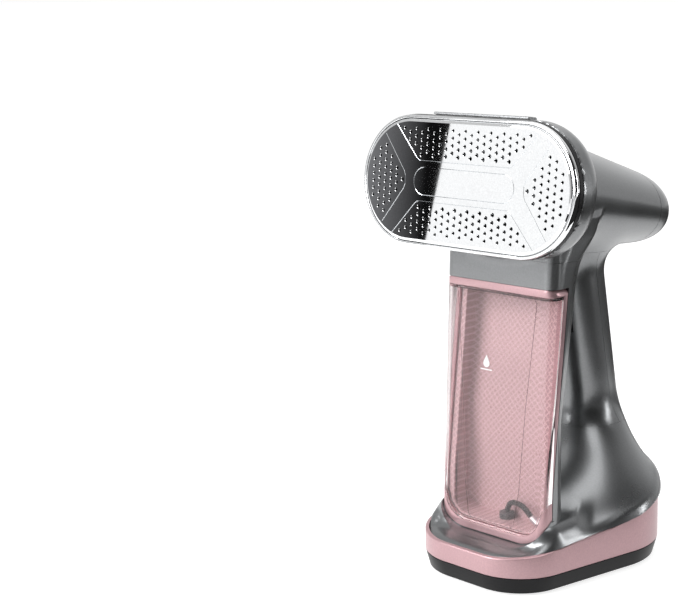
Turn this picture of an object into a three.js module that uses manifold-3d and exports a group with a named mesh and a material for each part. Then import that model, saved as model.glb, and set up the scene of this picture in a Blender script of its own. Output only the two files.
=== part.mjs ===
// An upright garment steamer: a wide perforated steam head on a tapering barrel, a column that holds a
// slide-out water tank, a loop handle with a trigger, and a weighted base. Millimetres, +Z up, the steam
// plate faces -Y, and the origin is the centre of the underside of the sole.
import * as THREE from "three";
import { mergeVertices } from "three/addons/utils/BufferGeometryUtils.js";
import Module from "manifold-3d";

const wasm = await Module();
wasm.setup();

// ---------------------------------------------------------------- driving dimensions
const WALL = 2.4; // moulded housing wall
const GAP = 0.3; // clearance between pieces that touch
const RING_POINTS = 32; // points round the head and the barrel

const BASE = { // half widths, lengths from the origin and corner radii of the base's foot
  frontHalf: 49.5, rearHalf: 62, frontLength: 72.6, rearLength: 77.1, frontRadius: 34.3, rearRadius: 46.6,
};
const SOLE_HEIGHT = 1.2;
const PLATE_TOP = 12.1; // top of the black base plate
const SKIRT_FLARE = 2.9; // how far the skirt stands outside the base plate's foot
const SKIRT_TOP = [ // height along y
  [-77, 24.5], [-45, 28.5], [-5, 31.5], [20, 35.5], [57, 45], [70, 50.5], [80, 51],
];
const BASE_SCREWS = [[-34, -40], [34, -40], [-42, 42], [42, 42]];
const GLAND = { z: 24, radius: 7.5 }; // cable gland in the skirt's rear

const COLUMN = { halfWidth: 44.1, cornerRadius: 7, frontTop: -39.4, frontLean: 0.0482, topZ: 206 };
const COLUMN_REAR = [ // rear edge of the column's sides, by height
  [20, -33], [105, -33], [190, -19.5], [200, -17], [207, -13.5], [213, -5], [222, 8], [240, 10],
];
const COLUMN_BULGE = 15; // how far the column's back swells behind its sides
const NECK_TOP = 238; // the column and the grip run up to here and are cut to the barrel's underside

const TANK = { bottom: 27, top: 191.5, band: 4.6, sideBand: 3.6, wall: 2, cornerRadius: 22, topRadius: 5 };
const TANK_SIDE_REAR = [[20, -40.4], [62, -39.6], [184, -25.5], [200, -24]]; // rear edge of the tank's sides
const TANK_STRIP_REAR = -26; // the shelf is kept low in front of this, for the tank to slide out
const TANK_CLEARANCE = 1.4; // between the tank's lower edge and the shelf
const BELLY_HALF = 38; // half width of the tank's rear part, inside the column
const PLUG = { y: -18, radius: 5.4, flange: 6.6 };
const VALVE = { y: -30, radius: 5, bore: 1.6 };

const HEAD = { halfStraight: 44.3, radius: 41, y: -71, z: 256.9, tilt: THREE.MathUtils.degToRad(6) };
const BARREL_FRONT = -42;
const BARREL_REAR = 84;
const NOSE_END = 108;
const NOSE_CENTRE = 223.5; // height of the barrel's rounded rear end
const BUTTON = { z: 226, radius: 8 };

const GRIP = { halfWidth: 18, halfDepth: 20, topY: 39, topZ: 190, lean: 0.19, bottom: 84 };
const TRIGGER = { top: 188, bottom: 150, width: 15, pivotZ: 183 };
const SLIDER = { z: 168 };

// ---------------------------------------------------------------- materials
function material(colour, roughness, metalness) {
  return new THREE.MeshStandardMaterial({ color: colour, roughness, metalness });
}
const graphite = material(0x76797a, 0.36, 0.6);
const rose = material(0xc79aa0, 0.4, 0.45);
const black = material(0x151617, 0.45, 0);
const chrome = material(0xe8eaec, 0.08, 1);
const smoked = new THREE.MeshStandardMaterial({
  color: 0xb08a90, roughness: 0.15, metalness: 0, transparent: true, opacity: 0.45,
});
const aluminium = material(0xa9adb0, 0.5, 0.9);
const rubber = material(0x202122, 0.8, 0);
const steel = material(0xb9bcc0, 0.3, 1);
const moulding = material(0x3a3c3e, 0.6, 0);
const board = material(0x2c6b45, 0.6, 0);
const copper = material(0xb87346, 0.35, 1);

// ---------------------------------------------------------------- geometry helpers
const steamer = new THREE.Group();

// Value at `at` on the straight lines through a list of [position, value] pairs.
function along(points, at) {
  if (at <= points[0][0]) return points[0][1];
  for (let i = 1; i < points.length; i += 1) {
    const [x0, v0] = points[i - 1];
    const [x1, v1] = points[i];
    if (at <= x1) return v0 + ((v1 - v0) * (at - x0)) / (x1 - x0);
  }
  return points[points.length - 1][1];
}

function volumeOf(positions, index) {
  const [a, b, c] = [new THREE.Vector3(), new THREE.Vector3(), new THREE.Vector3()];
  let volume = 0;
  for (let i = 0; i < index.length; i += 3) {
    a.fromArray(positions, index[i] * 3);
    b.fromArray(positions, index[i + 1] * 3);
    c.fromArray(positions, index[i + 2] * 3);
    volume += a.dot(b.cross(c)) / 6;
  }
  return volume;
}

// A closed skin through rings of points. `looped` joins the last ring to the first, as in a tyre;
// otherwise both ends are capped with a fan.
function skin(rings, looped = false) {
  const count = rings[0].length;
  const positions = rings.flat().flatMap((p) => [p.x, p.y, p.z]);
  const index = [];
  const bands = looped ? rings.length : rings.length - 1;
  for (let r = 0; r < bands; r += 1) {
    const next = ((r + 1) % rings.length) * count;
    for (let i = 0; i < count; i += 1) {
      const j = (i + 1) % count;
      index.push(r * count + i, r * count + j, next + j, r * count + i, next + j, next + i);
    }
  }
  if (!looped) {
    for (const [r, flip] of [[0, true], [rings.length - 1, false]]) {
      const centre = rings[r].reduce((sum, p) => sum.add(p), new THREE.Vector3()).divideScalar(count);
      const hub = positions.length / 3;
      positions.push(centre.x, centre.y, centre.z);
      for (let i = 0; i < count; i += 1) {
        const [p, q] = [r * count + i, r * count + ((i + 1) % count)];
        index.push(hub, flip ? q : p, flip ? p : q);
      }
    }
  }
  if (volumeOf(positions, index) < 0) index.reverse();
  const geometry = new THREE.BufferGeometry();
  geometry.setAttribute("position", new THREE.Float32BufferAttribute(positions, 3));
  geometry.setIndex(index);
  return geometry;
}

function solid(geometry) {
  const bare = geometry.clone();
  bare.deleteAttribute("normal");
  bare.deleteAttribute("uv");
  const merged = mergeVertices(bare, 1e-4);
  const vertProperties = new Float32Array(merged.attributes.position.array);
  const triVerts = new Uint32Array(merged.index.array);
  return new wasm.Manifold(new wasm.Mesh({ numProp: 3, vertProperties, triVerts }));
}

function geometryOf(manifold) {
  const made = manifold.getMesh();
  const geometry = new THREE.BufferGeometry();
  geometry.setAttribute("position", new THREE.BufferAttribute(made.vertProperties, 3));
  geometry.setIndex(new THREE.BufferAttribute(made.triVerts, 1));
  return geometry;
}

function place(name, shape, finish, group = steamer) {
  const geometry = shape.isBufferGeometry ? shape : geometryOf(shape);
  if (!geometry.attributes.normal) geometry.computeVertexNormals();
  const mesh = new THREE.Mesh(geometry, finish);
  mesh.name = name;
  group.add(mesh);
  return mesh;
}

function block([x0, y0, z0], [x1, y1, z1]) {
  const geometry = new THREE.BoxGeometry(x1 - x0, y1 - y0, z1 - z0);
  geometry.translate((x0 + x1) / 2, (y0 + y1) / 2, (z0 + z1) / 2);
  return geometry;
}

// A round bar from `from` to `to`.
function rod(from, to, radius, segments = 20) {
  const [a, b] = [new THREE.Vector3(...from), new THREE.Vector3(...to)];
  const geometry = new THREE.CylinderGeometry(radius, radius, a.distanceTo(b), segments);
  const turn = new THREE.Quaternion().setFromUnitVectors(
    new THREE.Vector3(0, 1, 0),
    b.clone().sub(a).normalize(),
  );
  geometry.applyQuaternion(turn);
  geometry.translate(...a.add(b).multiplyScalar(0.5).toArray());
  return geometry;
}

function hose(points, radius, steps) {
  const path = new THREE.CatmullRomCurve3(points.map((p) => new THREE.Vector3(...p)));
  const section = new THREE.Shape().absarc(0, 0, radius, 0, Math.PI * 2);
  return new THREE.ExtrudeGeometry(section, { steps, extrudePath: path, curveSegments: 5 });
}

// Points of a superellipse around (0, 0), in order of angle.
function superellipse(halfX, halfY, power, count) {
  return Array.from({ length: count }, (_, i) => {
    const angle = (i / count) * Math.PI * 2;
    const [c, s] = [Math.cos(angle), Math.sin(angle)];
    const scale = (Math.abs(c) ** power + Math.abs(s) ** power) ** (-1 / power);
    return [halfX * c * scale, halfY * s * scale];
  });
}

// Points of a flat-sided oval whose ends are half circles, in order of angle.
function stadium(halfStraight, radius, count) {
  const points = [];
  const arc = count / 2;
  for (const side of [1, -1]) {
    for (let i = 0; i < arc; i += 1) {
      const angle = (side > 0 ? -Math.PI / 2 : Math.PI / 2) + (Math.PI * i) / (arc - 1);
      points.push([side * halfStraight + radius * Math.cos(angle), radius * Math.sin(angle)]);
    }
  }
  return points;
}

// ---------------------------------------------------------------- base
// The base's plan outline: a rounded trapezium, wider at the rear, grown outwards by `grow`.
function basePlan(grow) {
  const front = { x: BASE.frontHalf - BASE.frontRadius, y: BASE.frontRadius - BASE.frontLength };
  const rear = { x: BASE.rearHalf - BASE.rearRadius, y: BASE.rearLength - BASE.rearRadius };
  const slope = Math.atan2(rear.y - front.y, rear.x - front.x) - Math.PI / 2;
  const apart = Math.hypot(rear.x - front.x, rear.y - front.y);
  const lean = slope + Math.asin((BASE.frontRadius - BASE.rearRadius) / apart);
  const right = [];
  const steps = 6;
  for (let i = 0; i <= steps; i += 1) {
    const angle = -Math.PI / 2 + ((lean + Math.PI / 2) * i) / steps;
    const radius = BASE.frontRadius + grow;
    right.push([front.x + radius * Math.cos(angle), front.y + radius * Math.sin(angle)]);
  }
  const [start, end] = [right[steps], [
    rear.x + (BASE.rearRadius + grow) * Math.cos(lean),
    rear.y + (BASE.rearRadius + grow) * Math.sin(lean),
  ]];
  for (const part of [0.33, 0.66]) {
    right.push([start[0] + (end[0] - start[0]) * part, start[1] + (end[1] - start[1]) * part]);
  }
  for (let i = 0; i <= steps; i += 1) {
    const angle = lean + ((Math.PI / 2 - lean) * i) / steps;
    const radius = BASE.rearRadius + grow;
    right.push([rear.x + radius * Math.cos(angle), rear.y + radius * Math.sin(angle)]);
  }
  const left = right.map(([x, y]) => [-x, y]).reverse();
  return [...right, ...left];
}

// A ring of the base's outline, grown by `grow`, at a height that may change along y.
function baseRing(grow, height) {
  const heightAt = typeof height === "function" ? height : () => height;
  return basePlan(grow).map(([x, y]) => new THREE.Vector3(x, y, heightAt(y, x)));
}
const skirtTop = (lift) => (y) => along(SKIRT_TOP, y) + lift;

function buildBase() {
  place("base_sole", skin([baseRing(-5, 0), baseRing(-4, SOLE_HEIGHT)]), rubber);

  const plateOuter = skin([baseRing(0, SOLE_HEIGHT + GAP), baseRing(SKIRT_FLARE, PLATE_TOP)]);
  const plateRoom = skin([baseRing(-2.4, SOLE_HEIGHT + 4), baseRing(0.2, PLATE_TOP + 1)]);
  let plate = solid(plateOuter).subtract(solid(plateRoom));
  for (const [x, y] of BASE_SCREWS) {
    plate = plate.add(solid(rod([x, y, SOLE_HEIGHT + 1], [x, y, PLATE_TOP - 2], 4)));
    plate = plate.subtract(solid(rod([x, y, 0], [x, y, PLATE_TOP], 1.9)));
  }
  place("base_plate", plate, black);

  const skirtBottom = PLATE_TOP + GAP;
  const skirt = solid(skin([
    baseRing(SKIRT_FLARE, skirtBottom),
    baseRing(SKIRT_FLARE, skirtTop(-1)),
    baseRing(SKIRT_FLARE - 0.8, skirtTop(0)),
    baseRing(SKIRT_FLARE - WALL, skirtTop(0)),
    baseRing(SKIRT_FLARE - WALL, skirtBottom),
  ], true));
  const glandHole = solid(rod([0, 60, GLAND.z], [0, 95, GLAND.z], GLAND.radius + GAP));
  place("base_skirt", skirt.subtract(glandHole), rose);
}


// The height under the tank's rounded lower edge at `x`, along the strip that the tank slides out over.
function underTank(y, x) {
  const half = COLUMN.halfWidth + 0.4;
  if (y > TANK_STRIP_REAR || Math.abs(x) > half) return Infinity;
  const across = Math.max(Math.abs(x) - (half - TANK.cornerRadius), 0);
  return TANK.bottom + TANK.cornerRadius - Math.sqrt(TANK.cornerRadius ** 2 - across ** 2) - TANK_CLEARANCE;
}

// The shelf over the base: a rounded shoulder rising inwards from the skirt, `inset` inside its skin, and
// flat under the path of the tank.
function shelf(inset) {
  const tongue = SKIRT_FLARE - WALL - GAP;
  const rings = [
    [tongue, GAP], [SKIRT_FLARE - 0.8, GAP], [SKIRT_FLARE - 1.6, 1.6], [-2, 3.4], [-9, 4.6], [-20, 6],
  ].map(([grow, lift]) => {
    const height = (y, x) => Math.min(skirtTop(lift)(y), underTank(y, x)) - inset;
    return baseRing(Math.min(grow, tongue + 2 - inset) - inset, height);
  });
  const floor = inset > 0 ? PLATE_TOP + GAP : PLATE_TOP + 8;
  if (inset === 0) rings.splice(1, 1, baseRing(SKIRT_FLARE - 0.8, skirtTop(GAP)));
  return solid(skin([baseRing(tongue - inset, floor), ...rings]));
}

const gripCentre = (z) => GRIP.topY + (GRIP.topZ - z) * GRIP.lean;

// One level ring of the grip or its foot.
function gripRing(z, halfWidth, halfDepth, centreY, power = 2.2) {
  return superellipse(halfWidth, halfDepth, power, 24).map(([x, y]) => new THREE.Vector3(x, centreY + y, z));
}

// The swept foot under the handle, spreading from the grip down into the shelf.
function gripFoot(inset) {
  const levels = [
    [30, 57, 43, 32], [44, 54, 42, 34], [54, 46, 38.5, 39.5], [62, 37, 34.5, 46], [72, 27, 27.5, 53.5],
    [GRIP.bottom - GAP, 18.4, 20.5, gripCentre(GRIP.bottom)],
  ];
  return solid(skin(levels.map(([z, w, d, y], i) => {
    const end = i === levels.length - 1 ? (inset > 0 ? 1 : 0) : -inset * 0.6;
    return gripRing(z + end, w - inset, d - inset, y);
  })));
}

// The saddle that closes the bottom of the hand opening, between the column and the grip's foot.
function saddle(inset) {
  const levels = [[26, 46, 40, 0], [44, 38, 38, 2], [58, 27, 36, 6], [68, 19, 33, 10], [73, 12, 30, 14]];
  return solid(skin(levels.map(([z, w, d, y]) => gripRing(z - inset, w - inset, d - inset * 0.4, y, 2.4))));
}

function buildBaseShell() {
  const outer = shelf(0).add(gripFoot(0)).add(saddle(0));
  const inner = shelf(WALL).add(gripFoot(WALL)).add(saddle(WALL));
  const columnRoom = solid(skin([columnRing(0, -GAP), columnRing(120, -GAP)]));
  const spineRoom = solid(skin([columnRing(0, WALL), columnRing(45, WALL)]));
  let shell = outer.subtract(inner).subtract(columnRoom).subtract(spineRoom);
  shell = shell.subtract(solid(rod([0, 60, GLAND.z], [0, 90, GLAND.z], GLAND.radius + 1.6 + GAP)));
  place("base_shell", shell, graphite);
}

function buildBaseInside() {
  const ballast = solid(skin([baseRing(-12, SOLE_HEIGHT + 4.4), baseRing(-12, SOLE_HEIGHT + 8.4)]));
  let weight = ballast;
  for (const [x, y] of BASE_SCREWS) {
    weight = weight.subtract(solid(rod([x, y, 0], [x, y, PLATE_TOP], 5)));
  }
  place("ballast_weight", weight, steel);
  BASE_SCREWS.forEach(([x, y], i) => {
    const head = solid(rod([x, y, SOLE_HEIGHT + GAP + 0.2], [x, y, SOLE_HEIGHT + 2], 1.5, 12));
    const shank = solid(rod([x, y, SOLE_HEIGHT + 1.6], [x, y, PLATE_TOP - 2.5], 1.5, 12));
    place(`base_screw_${i + 1}`, head.add(shank), steel);
  });

  const pumpBody = solid(rod([0, 2, 27], [0, 44, 27], 12, 28));
  const pumpSpouts = solid(rod([0, -4, 27], [0, 50, 27], 3, 14));
  place("pump", pumpBody.add(pumpSpouts), moulding);
  for (const [name, y] of [["pump_mount_front", 8], ["pump_mount_rear", 38]]) {
    const cradle = solid(block([-15, y - 3, SOLE_HEIGHT + 8.8], [15, y + 3, 27]));
    place(name, cradle.subtract(solid(rod([0, y - 4, 27], [0, y + 4, 27], 12 + GAP, 28))), rubber);
  }
  const tray = solid(block([22, -2, 12], [42, 30, 26]));
  place("terminal_block", tray.subtract(solid(block([25, 1, 22], [39, 27, 27]))), moulding);

  const flangeEnd = BASE.rearLength - 0.3;
  const gland = solid(rod([0, flangeEnd - 3, GLAND.z], [0, flangeEnd + 6.2, GLAND.z], GLAND.radius, 24))
    .add(solid(rod([0, flangeEnd - 3.8, GLAND.z], [0, flangeEnd, GLAND.z], GLAND.radius + 1.6, 24)))
    .subtract(solid(rod([0, 60, GLAND.z], [0, 95, GLAND.z], 3.6, 16)));
  place("cord_gland", gland, rubber);
}

// ---------------------------------------------------------------- column and tank
const columnFront = (z) => COLUMN.frontTop - (COLUMN.topZ - z) * COLUMN.frontLean;

// A level ring of the column: rounded front corners and a swelling back, all `inset` inside the skin.
function columnRing(z, inset, rear = along(COLUMN_REAR, z), bulge = COLUMN_BULGE) {
  const radius = Math.max(COLUMN.cornerRadius - inset, 1);
  const half = COLUMN.halfWidth - inset;
  const front = columnFront(z) + inset;
  const right = [];
  for (let i = 0; i <= 5; i += 1) {
    const angle = -Math.PI / 2 + (Math.PI / 2) * (i / 5);
    right.push([half - radius + radius * Math.cos(angle), front + radius + radius * Math.sin(angle)]);
  }
  const swell = bulge === 0 ? 0 : bulge - inset * 0.6;
  const shoulder = bulge === 0 ? rear : rear - Math.max(inset, 0) * 0.4;
  for (let i = 0; i <= 7; i += 1) {
    const angle = (Math.PI / 2) * (i / 7.5);
    right.push([half * Math.cos(angle) ** 0.55, shoulder + swell * Math.sin(angle)]);
  }
  const left = right.map(([x, y]) => [-x, y]).reverse();
  return [...right, ...left].map(([x, y]) => new THREE.Vector3(x, y, z));
}

const COLUMN_LEVELS = [26, 105, 190, 200, 207, 213, 222, NECK_TOP];
const columnBulge = (z) => along([[207, COLUMN_BULGE], [222, 4]], z);

// The front view of the tank's face, with its large bottom corners, run through from front to back.
function tankOutline(grow) {
  const half = COLUMN.halfWidth + 0.4 + grow;
  const [bottom, top] = [TANK.bottom - grow, TANK.top + grow];
  const [low, high] = [TANK.cornerRadius + grow, Math.max(TANK.topRadius + grow, 0.5)];
  const outline = new THREE.Shape();
  outline.absarc(half - low, bottom + low, low, -Math.PI / 2, 0, false);
  outline.absarc(half - high, top - high, high, 0, Math.PI / 2, false);
  outline.absarc(high - half, top - high, high, Math.PI / 2, Math.PI, false);
  outline.absarc(low - half, bottom + low, low, Math.PI, Math.PI * 1.5, false);
  const prism = new THREE.ExtrudeGeometry(outline, { depth: 70, bevelEnabled: false, curveSegments: 4 });
  return solid(prism.rotateX(Math.PI / 2));
}

// The face of the tank: the front of the column back to the tank's side edge.
function tankFace(inset, grow, rearShift = 0) {
  const levels = [TANK.bottom - 3, 62, 105, 150, TANK.top + 3];
  return solid(skin(levels.map((z) => {
    return columnRing(z, inset, along(TANK_SIDE_REAR, z) + rearShift, 0);
  }))).intersect(tankOutline(grow));
}

// The part of the tank that reaches back into the column, behind its face.
function tankBelly(inset, grow) {
  const levels = [TANK.bottom - 3, 105, TANK.top + 3];
  return solid(skin(levels.map((z) => {
    const half = BELLY_HALF - inset;
    const rear = along(COLUMN_REAR, z) + COLUMN_BULGE - WALL - 2.4 - inset;
    const front = columnFront(z) + 6;
    const depth = (rear - front) / 2;
    return superellipse(half, depth, 6, 20).map(([x, y]) => new THREE.Vector3(x, front + depth + y, z));
  }))).intersect(tankOutline(grow));
}

// The straight way out to the front for the widest part of the tank's belly.
function tankPassage() {
  const levels = [TANK.bottom - 3, 105, TANK.top + 3];
  return solid(skin(levels.map((z) => {
    const [half, front] = [BELLY_HALF + GAP, columnFront(z) - 1];
    const middle = (columnFront(z) + 6 + along(COLUMN_REAR, z) + COLUMN_BULGE) / 2;
    return [[-half, front], [half, front], [half, middle], [-half, middle]]
      .map(([x, y]) => new THREE.Vector3(x, y, z));
  }))).intersect(tankOutline(GAP));
}

function buildColumn() {
  const ringAt = (z, inset) => columnRing(z, inset, along(COLUMN_REAR, z), columnBulge(z));
  const outer = solid(skin(COLUMN_LEVELS.map((z) => ringAt(z, 0)))).subtract(barrelSolid(-GAP));
  const innerLevels = [TANK.top + 2 + GAP, ...COLUMN_LEVELS.filter((z) => z > TANK.top + 3), NECK_TOP + 1];
  const inner = solid(skin(innerLevels.map((z) => ringAt(z, WALL))));
  const tankRoom = tankFace(-1, GAP, GAP).add(tankBelly(-GAP, GAP)).add(tankPassage());
  const foot = solid(block([-36, -34, 20], [36, -22, TANK.bottom - 3]));
  let shell = outer.subtract(inner).subtract(tankRoom).subtract(foot);
  const plugWindow = solid(rod([0, PLUG.y, TANK.top - 2], [0, PLUG.y, TANK.top + 4], PLUG.flange + 0.8, 20));
  shell = shell.subtract(plugWindow);
  const valveWindow = solid(rod([0, -30, TANK.bottom - 6], [0, -30, TANK.bottom + 3], 8, 20));
  shell = shell.subtract(valveWindow);
  place("column_shell", shell, graphite);
}

function buildTank() {
  const window = tankFace(-2, -TANK.band, -TANK.sideBand);
  const hollow = tankOutline(-TANK.band).intersect(solid(block([-39, -70, 0], [39, -10, TANK.top])));
  place("tank_frame", tankFace(0, 0).subtract(window).subtract(hollow), rose);

  const [low, high] = [TANK.bottom + TANK.band + GAP, TANK.top - TANK.band - GAP];
  const shellOuter = tankFace(0, -TANK.band - GAP, -TANK.sideBand - GAP);
  const shellRoom = tankFace(TANK.wall, -TANK.band - GAP - TANK.wall, 6);
  place("tank_shell", shellOuter.subtract(shellRoom), smoked);

  const backCut = solid(skin([0, 20, 60, 184, 200, 220].map((z) => {
    const front = along(TANK_SIDE_REAR, z) - TANK.sideBand + GAP;
    const corners = [[-60, front - 60], [60, front - 60], [60, front], [-60, front]];
    return corners.map(([x, y]) => new THREE.Vector3(x, y, z));
  })));
  const back = tankBelly(0, -TANK.band - GAP).subtract(tankBelly(TANK.wall, -TANK.band - GAP - TANK.wall))
    .subtract(backCut)
    .subtract(solid(rod([0, PLUG.y, high - 4], [0, PLUG.y, high + 2], PLUG.radius, 20)))
    .subtract(solid(rod([0, VALVE.y, low - 2], [0, VALVE.y, low + 4], VALVE.radius + GAP, 20)));
  place("tank_back", back, rose);

  const plug = solid(rod([0, PLUG.y, high - 4], [0, PLUG.y, high + 0.6], PLUG.radius - GAP, 20))
    .add(solid(rod([0, PLUG.y, high + GAP], [0, PLUG.y, high + 2], PLUG.flange, 20)))
    .add(solid(block([-4.5, PLUG.y - 1, high + 1.8], [4.5, PLUG.y + 1, high + 4])));
  place("fill_plug", plug, rubber);

  const valve = solid(rod([0, VALVE.y, TANK.bottom + 0.4], [0, VALVE.y, low + 6], VALVE.radius, 20));
  const bore = solid(rod([0, VALVE.y, TANK.bottom - 3], [0, VALVE.y, low + 7], VALVE.bore, 12));
  place("tank_valve", valve.subtract(bore), moulding);
  const hosePath = [[0, VALVE.y, low + 7], [4, -30.5, low + 13], [14, -32, low + 14], [22, -33, low + 9]];
  place("pickup_hose", hose(hosePath, 1.8, 12), rubber);
  place("pickup_weight", rod([23.4, -33.2, low + 8], [29, -33.8, low + 5.2], 2.3, 14), steel);
}

// ---------------------------------------------------------------- barrel and head
const barrelTop = (y) => 284 - 0.27 * y - 0.0009 * y * y;
const barrelBottom = (y) => 206.5 - 0.07 * y;
const barrelHalf = (y) => 45 - 0.094 * y + 0.0035 * Math.min(y, 0) ** 2;
const noseScale = (y, start, power) => {
  const part = Math.max(y - start, 0) / (NOSE_END - start);
  return Math.max(1 - part ** power, 0) ** (1 / power);
};

// An upright ring of the barrel at `y`, `inset` inside its skin.
function barrelRing(y, inset) {
  const side = noseScale(y, 62, 3);
  const rise = noseScale(y, 70, 4);
  const top = NOSE_CENTRE + (barrelTop(y) - NOSE_CENTRE) * rise - inset;
  const bottom = NOSE_CENTRE + (barrelBottom(y) - NOSE_CENTRE) * rise + inset;
  const half = barrelHalf(y) * side - inset;
  return superellipse(half, (top - bottom) / 2, 2.3, RING_POINTS)
    .map(([x, z]) => new THREE.Vector3(x, y, (top + bottom) / 2 + z));
}

// An upright ring of the head: the flat-sided oval, `depth` behind the steam plate's rim.
function headRing(halfStraight, radius, depth) {
  const [c, s] = [Math.cos(HEAD.tilt), Math.sin(HEAD.tilt)];
  return stadium(halfStraight, radius, RING_POINTS).map(([x, v]) => {
    return new THREE.Vector3(x, HEAD.y + depth * c + v * s, HEAD.z - depth * s + v * c);
  });
}

// The same ring with its points spread by angle, so that it can be joined to a barrel ring.
function headRingByAngle(grow, depth) {
  const [c, s] = [Math.cos(HEAD.tilt), Math.sin(HEAD.tilt)];
  const [half, radius] = [HEAD.halfStraight, HEAD.radius + grow];
  return Array.from({ length: RING_POINTS }, (_, i) => {
    const angle = (i / RING_POINTS) * Math.PI * 2;
    const [dx, dz] = [Math.cos(angle) * 1.45, Math.sin(angle)];
    const [x, v] = alongRay(dx, dz, half, radius);
    return new THREE.Vector3(x, HEAD.y + depth * c + v * s, HEAD.z - depth * s + v * c);
  });
}

// Where the ray from the middle towards (dx, dz) meets the flat-sided oval.
function alongRay(dx, dz, half, radius) {
  const flat = radius / Math.abs(dz);
  if (Math.abs(dx) * flat <= half) return [dx * flat, dz * flat];
  const side = Math.sign(dx);
  const [a, b, c] = [dx * dx + dz * dz, -side * half * dx, half * half - radius * radius];
  const reach = (-b + Math.sqrt(b * b - a * c)) / a;
  return [dx * reach, dz * reach];
}

// Moves a shape made as (x, depth behind the rim, height over the middle) into the tilted head.
function inHead(geometry) {
  return geometry.rotateX(-HEAD.tilt).translate(0, HEAD.y, HEAD.z);
}

function mixRings(a, b, part) {
  return a.map((p, i) => p.clone().lerp(b[i], part));
}

function buildHead() {
  const plate = solid(skin([
    headRing(HEAD.halfStraight, HEAD.radius - 4.2, -1.6),
    headRing(HEAD.halfStraight, HEAD.radius - 2.6, -0.4),
    headRing(HEAD.halfStraight, HEAD.radius - 2.6, 2),
  ]));
  place("steam_plate", plate, chrome);
  place("plate_bezel", skin([
    headRing(HEAD.halfStraight, HEAD.radius - 2.3, 2),
    headRing(HEAD.halfStraight, HEAD.radius - 2.3, -0.9),
    headRing(HEAD.halfStraight, HEAD.radius - 1.2, -1.2),
    headRing(HEAD.halfStraight, HEAD.radius - 0.3, 0),
    headRing(HEAD.halfStraight, HEAD.radius - 0.3, 2),
  ], true), chrome);
  place("heat_ring", skin([
    headRing(HEAD.halfStraight, HEAD.radius, 2.3),
    headRing(HEAD.halfStraight, HEAD.radius, 5.4),
    headRing(HEAD.halfStraight, HEAD.radius - 5, 5.4),
    headRing(HEAD.halfStraight, HEAD.radius - 5, 2.3),
  ], true), black);

  const rear = (inset) => barrelRing(BARREL_FRONT - GAP, inset);
  const collarRings = (inset) => [
    headRingByAngle(0.4 - inset, 5.7), headRingByAngle(0.2 - inset, 12), headRingByAngle(-1.2 - inset, 17),
    headRingByAngle(-4 - inset, 21), mixRings(headRingByAngle(-6 - inset, 24), rear(inset), 0.3),
    mixRings(headRingByAngle(-8 - inset, 26), rear(inset), 0.65), rear(inset),
  ];
  place("head_collar", skin([...collarRings(0), ...collarRings(WALL).reverse()], true), graphite);

  const catchProfile = [[10.5, 0.7], [12, 0.6], [17, -0.8], [18.5, -1.7], [18.5, 1.2], [17, 2], [10.5, 2.1]];
  place("accessory_catch", inHead(skin([-38, 38].map((x) => {
    return catchProfile.map(([depth, lift]) => new THREE.Vector3(x, depth, HEAD.radius + lift));
  }))), graphite);
}

const BARREL_LEVELS = [-20, 0, 20, 40, 62, 74];

// The barrel filled solid, `inset` inside its skin; a negative inset gives the room that it needs.
function barrelSolid(inset) {
  const overrun = inset === 0 ? 0 : 1;
  const levels = [BARREL_FRONT - overrun, ...BARREL_LEVELS, BARREL_REAR + overrun];
  return solid(skin(levels.map((y) => barrelRing(y, inset))));
}

function buildBarrel() {
  let shell = barrelSolid(0).subtract(barrelSolid(WALL));
  const gripRoom = solid(skin([190, 222].map((z) => gripRing(z, 14, 15, gripCentre(z)))));
  const columnRoom = solid(skin([200, 222].map((z) => columnRing(z, 12))));
  shell = shell.subtract(gripRoom).subtract(columnRoom);
  place("barrel_shell", shell, graphite);

  const capLevels = [BARREL_REAR + GAP, 90, 95, 100, 104, 106.5, 107.6];
  const cap = solid(skin(capLevels.map((y) => barrelRing(y, 0))));
  const capRoom = solid(skin([BARREL_REAR - 1, 90, 95, 100, 103].map((y) => barrelRing(y, WALL))));
  const buttonHole = solid(rod([0, 90, BUTTON.z], [0, 112, BUTTON.z], BUTTON.radius + GAP, 24));
  place("rear_cap", cap.subtract(capRoom).subtract(buttonHole), graphite);
}

// ---------------------------------------------------------------- handle
const GRIP_LEVELS = [ // height, and how far the handle flares out towards the barrel
  [GRIP.bottom, 0], [130, 0], [184, 0], [193, 1], [200, 3.5], [206, 8], [211, 15], [NECK_TOP - 10, 20],
];

function gripSolid(inset) {
  return solid(skin(GRIP_LEVELS.map(([z, flare], i) => {
    const end = inset > 0 ? (i === 0 ? -1 : i === GRIP_LEVELS.length - 1 ? 1 : 0) : 0;
    const spread = inset > 0 ? Math.min(flare, 8) : flare;
    return gripRing(z + end, GRIP.halfWidth + spread - inset, GRIP.halfDepth + spread - inset, gripCentre(z));
  })));
}

// Everything in front of (side -1) or behind (side 1) the grip's leaning middle plane, `gap` away from it.
function gripHalf(side, gap) {
  return solid(skin([60, 230].map((z) => {
    const y = gripCentre(z) + side * gap;
    const corners = [[-40, y], [40, y], [40, y + side * 60], [-40, y + side * 60]];
    return corners.map(([x, v]) => new THREE.Vector3(x, v, z));
  })));
}

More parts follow.
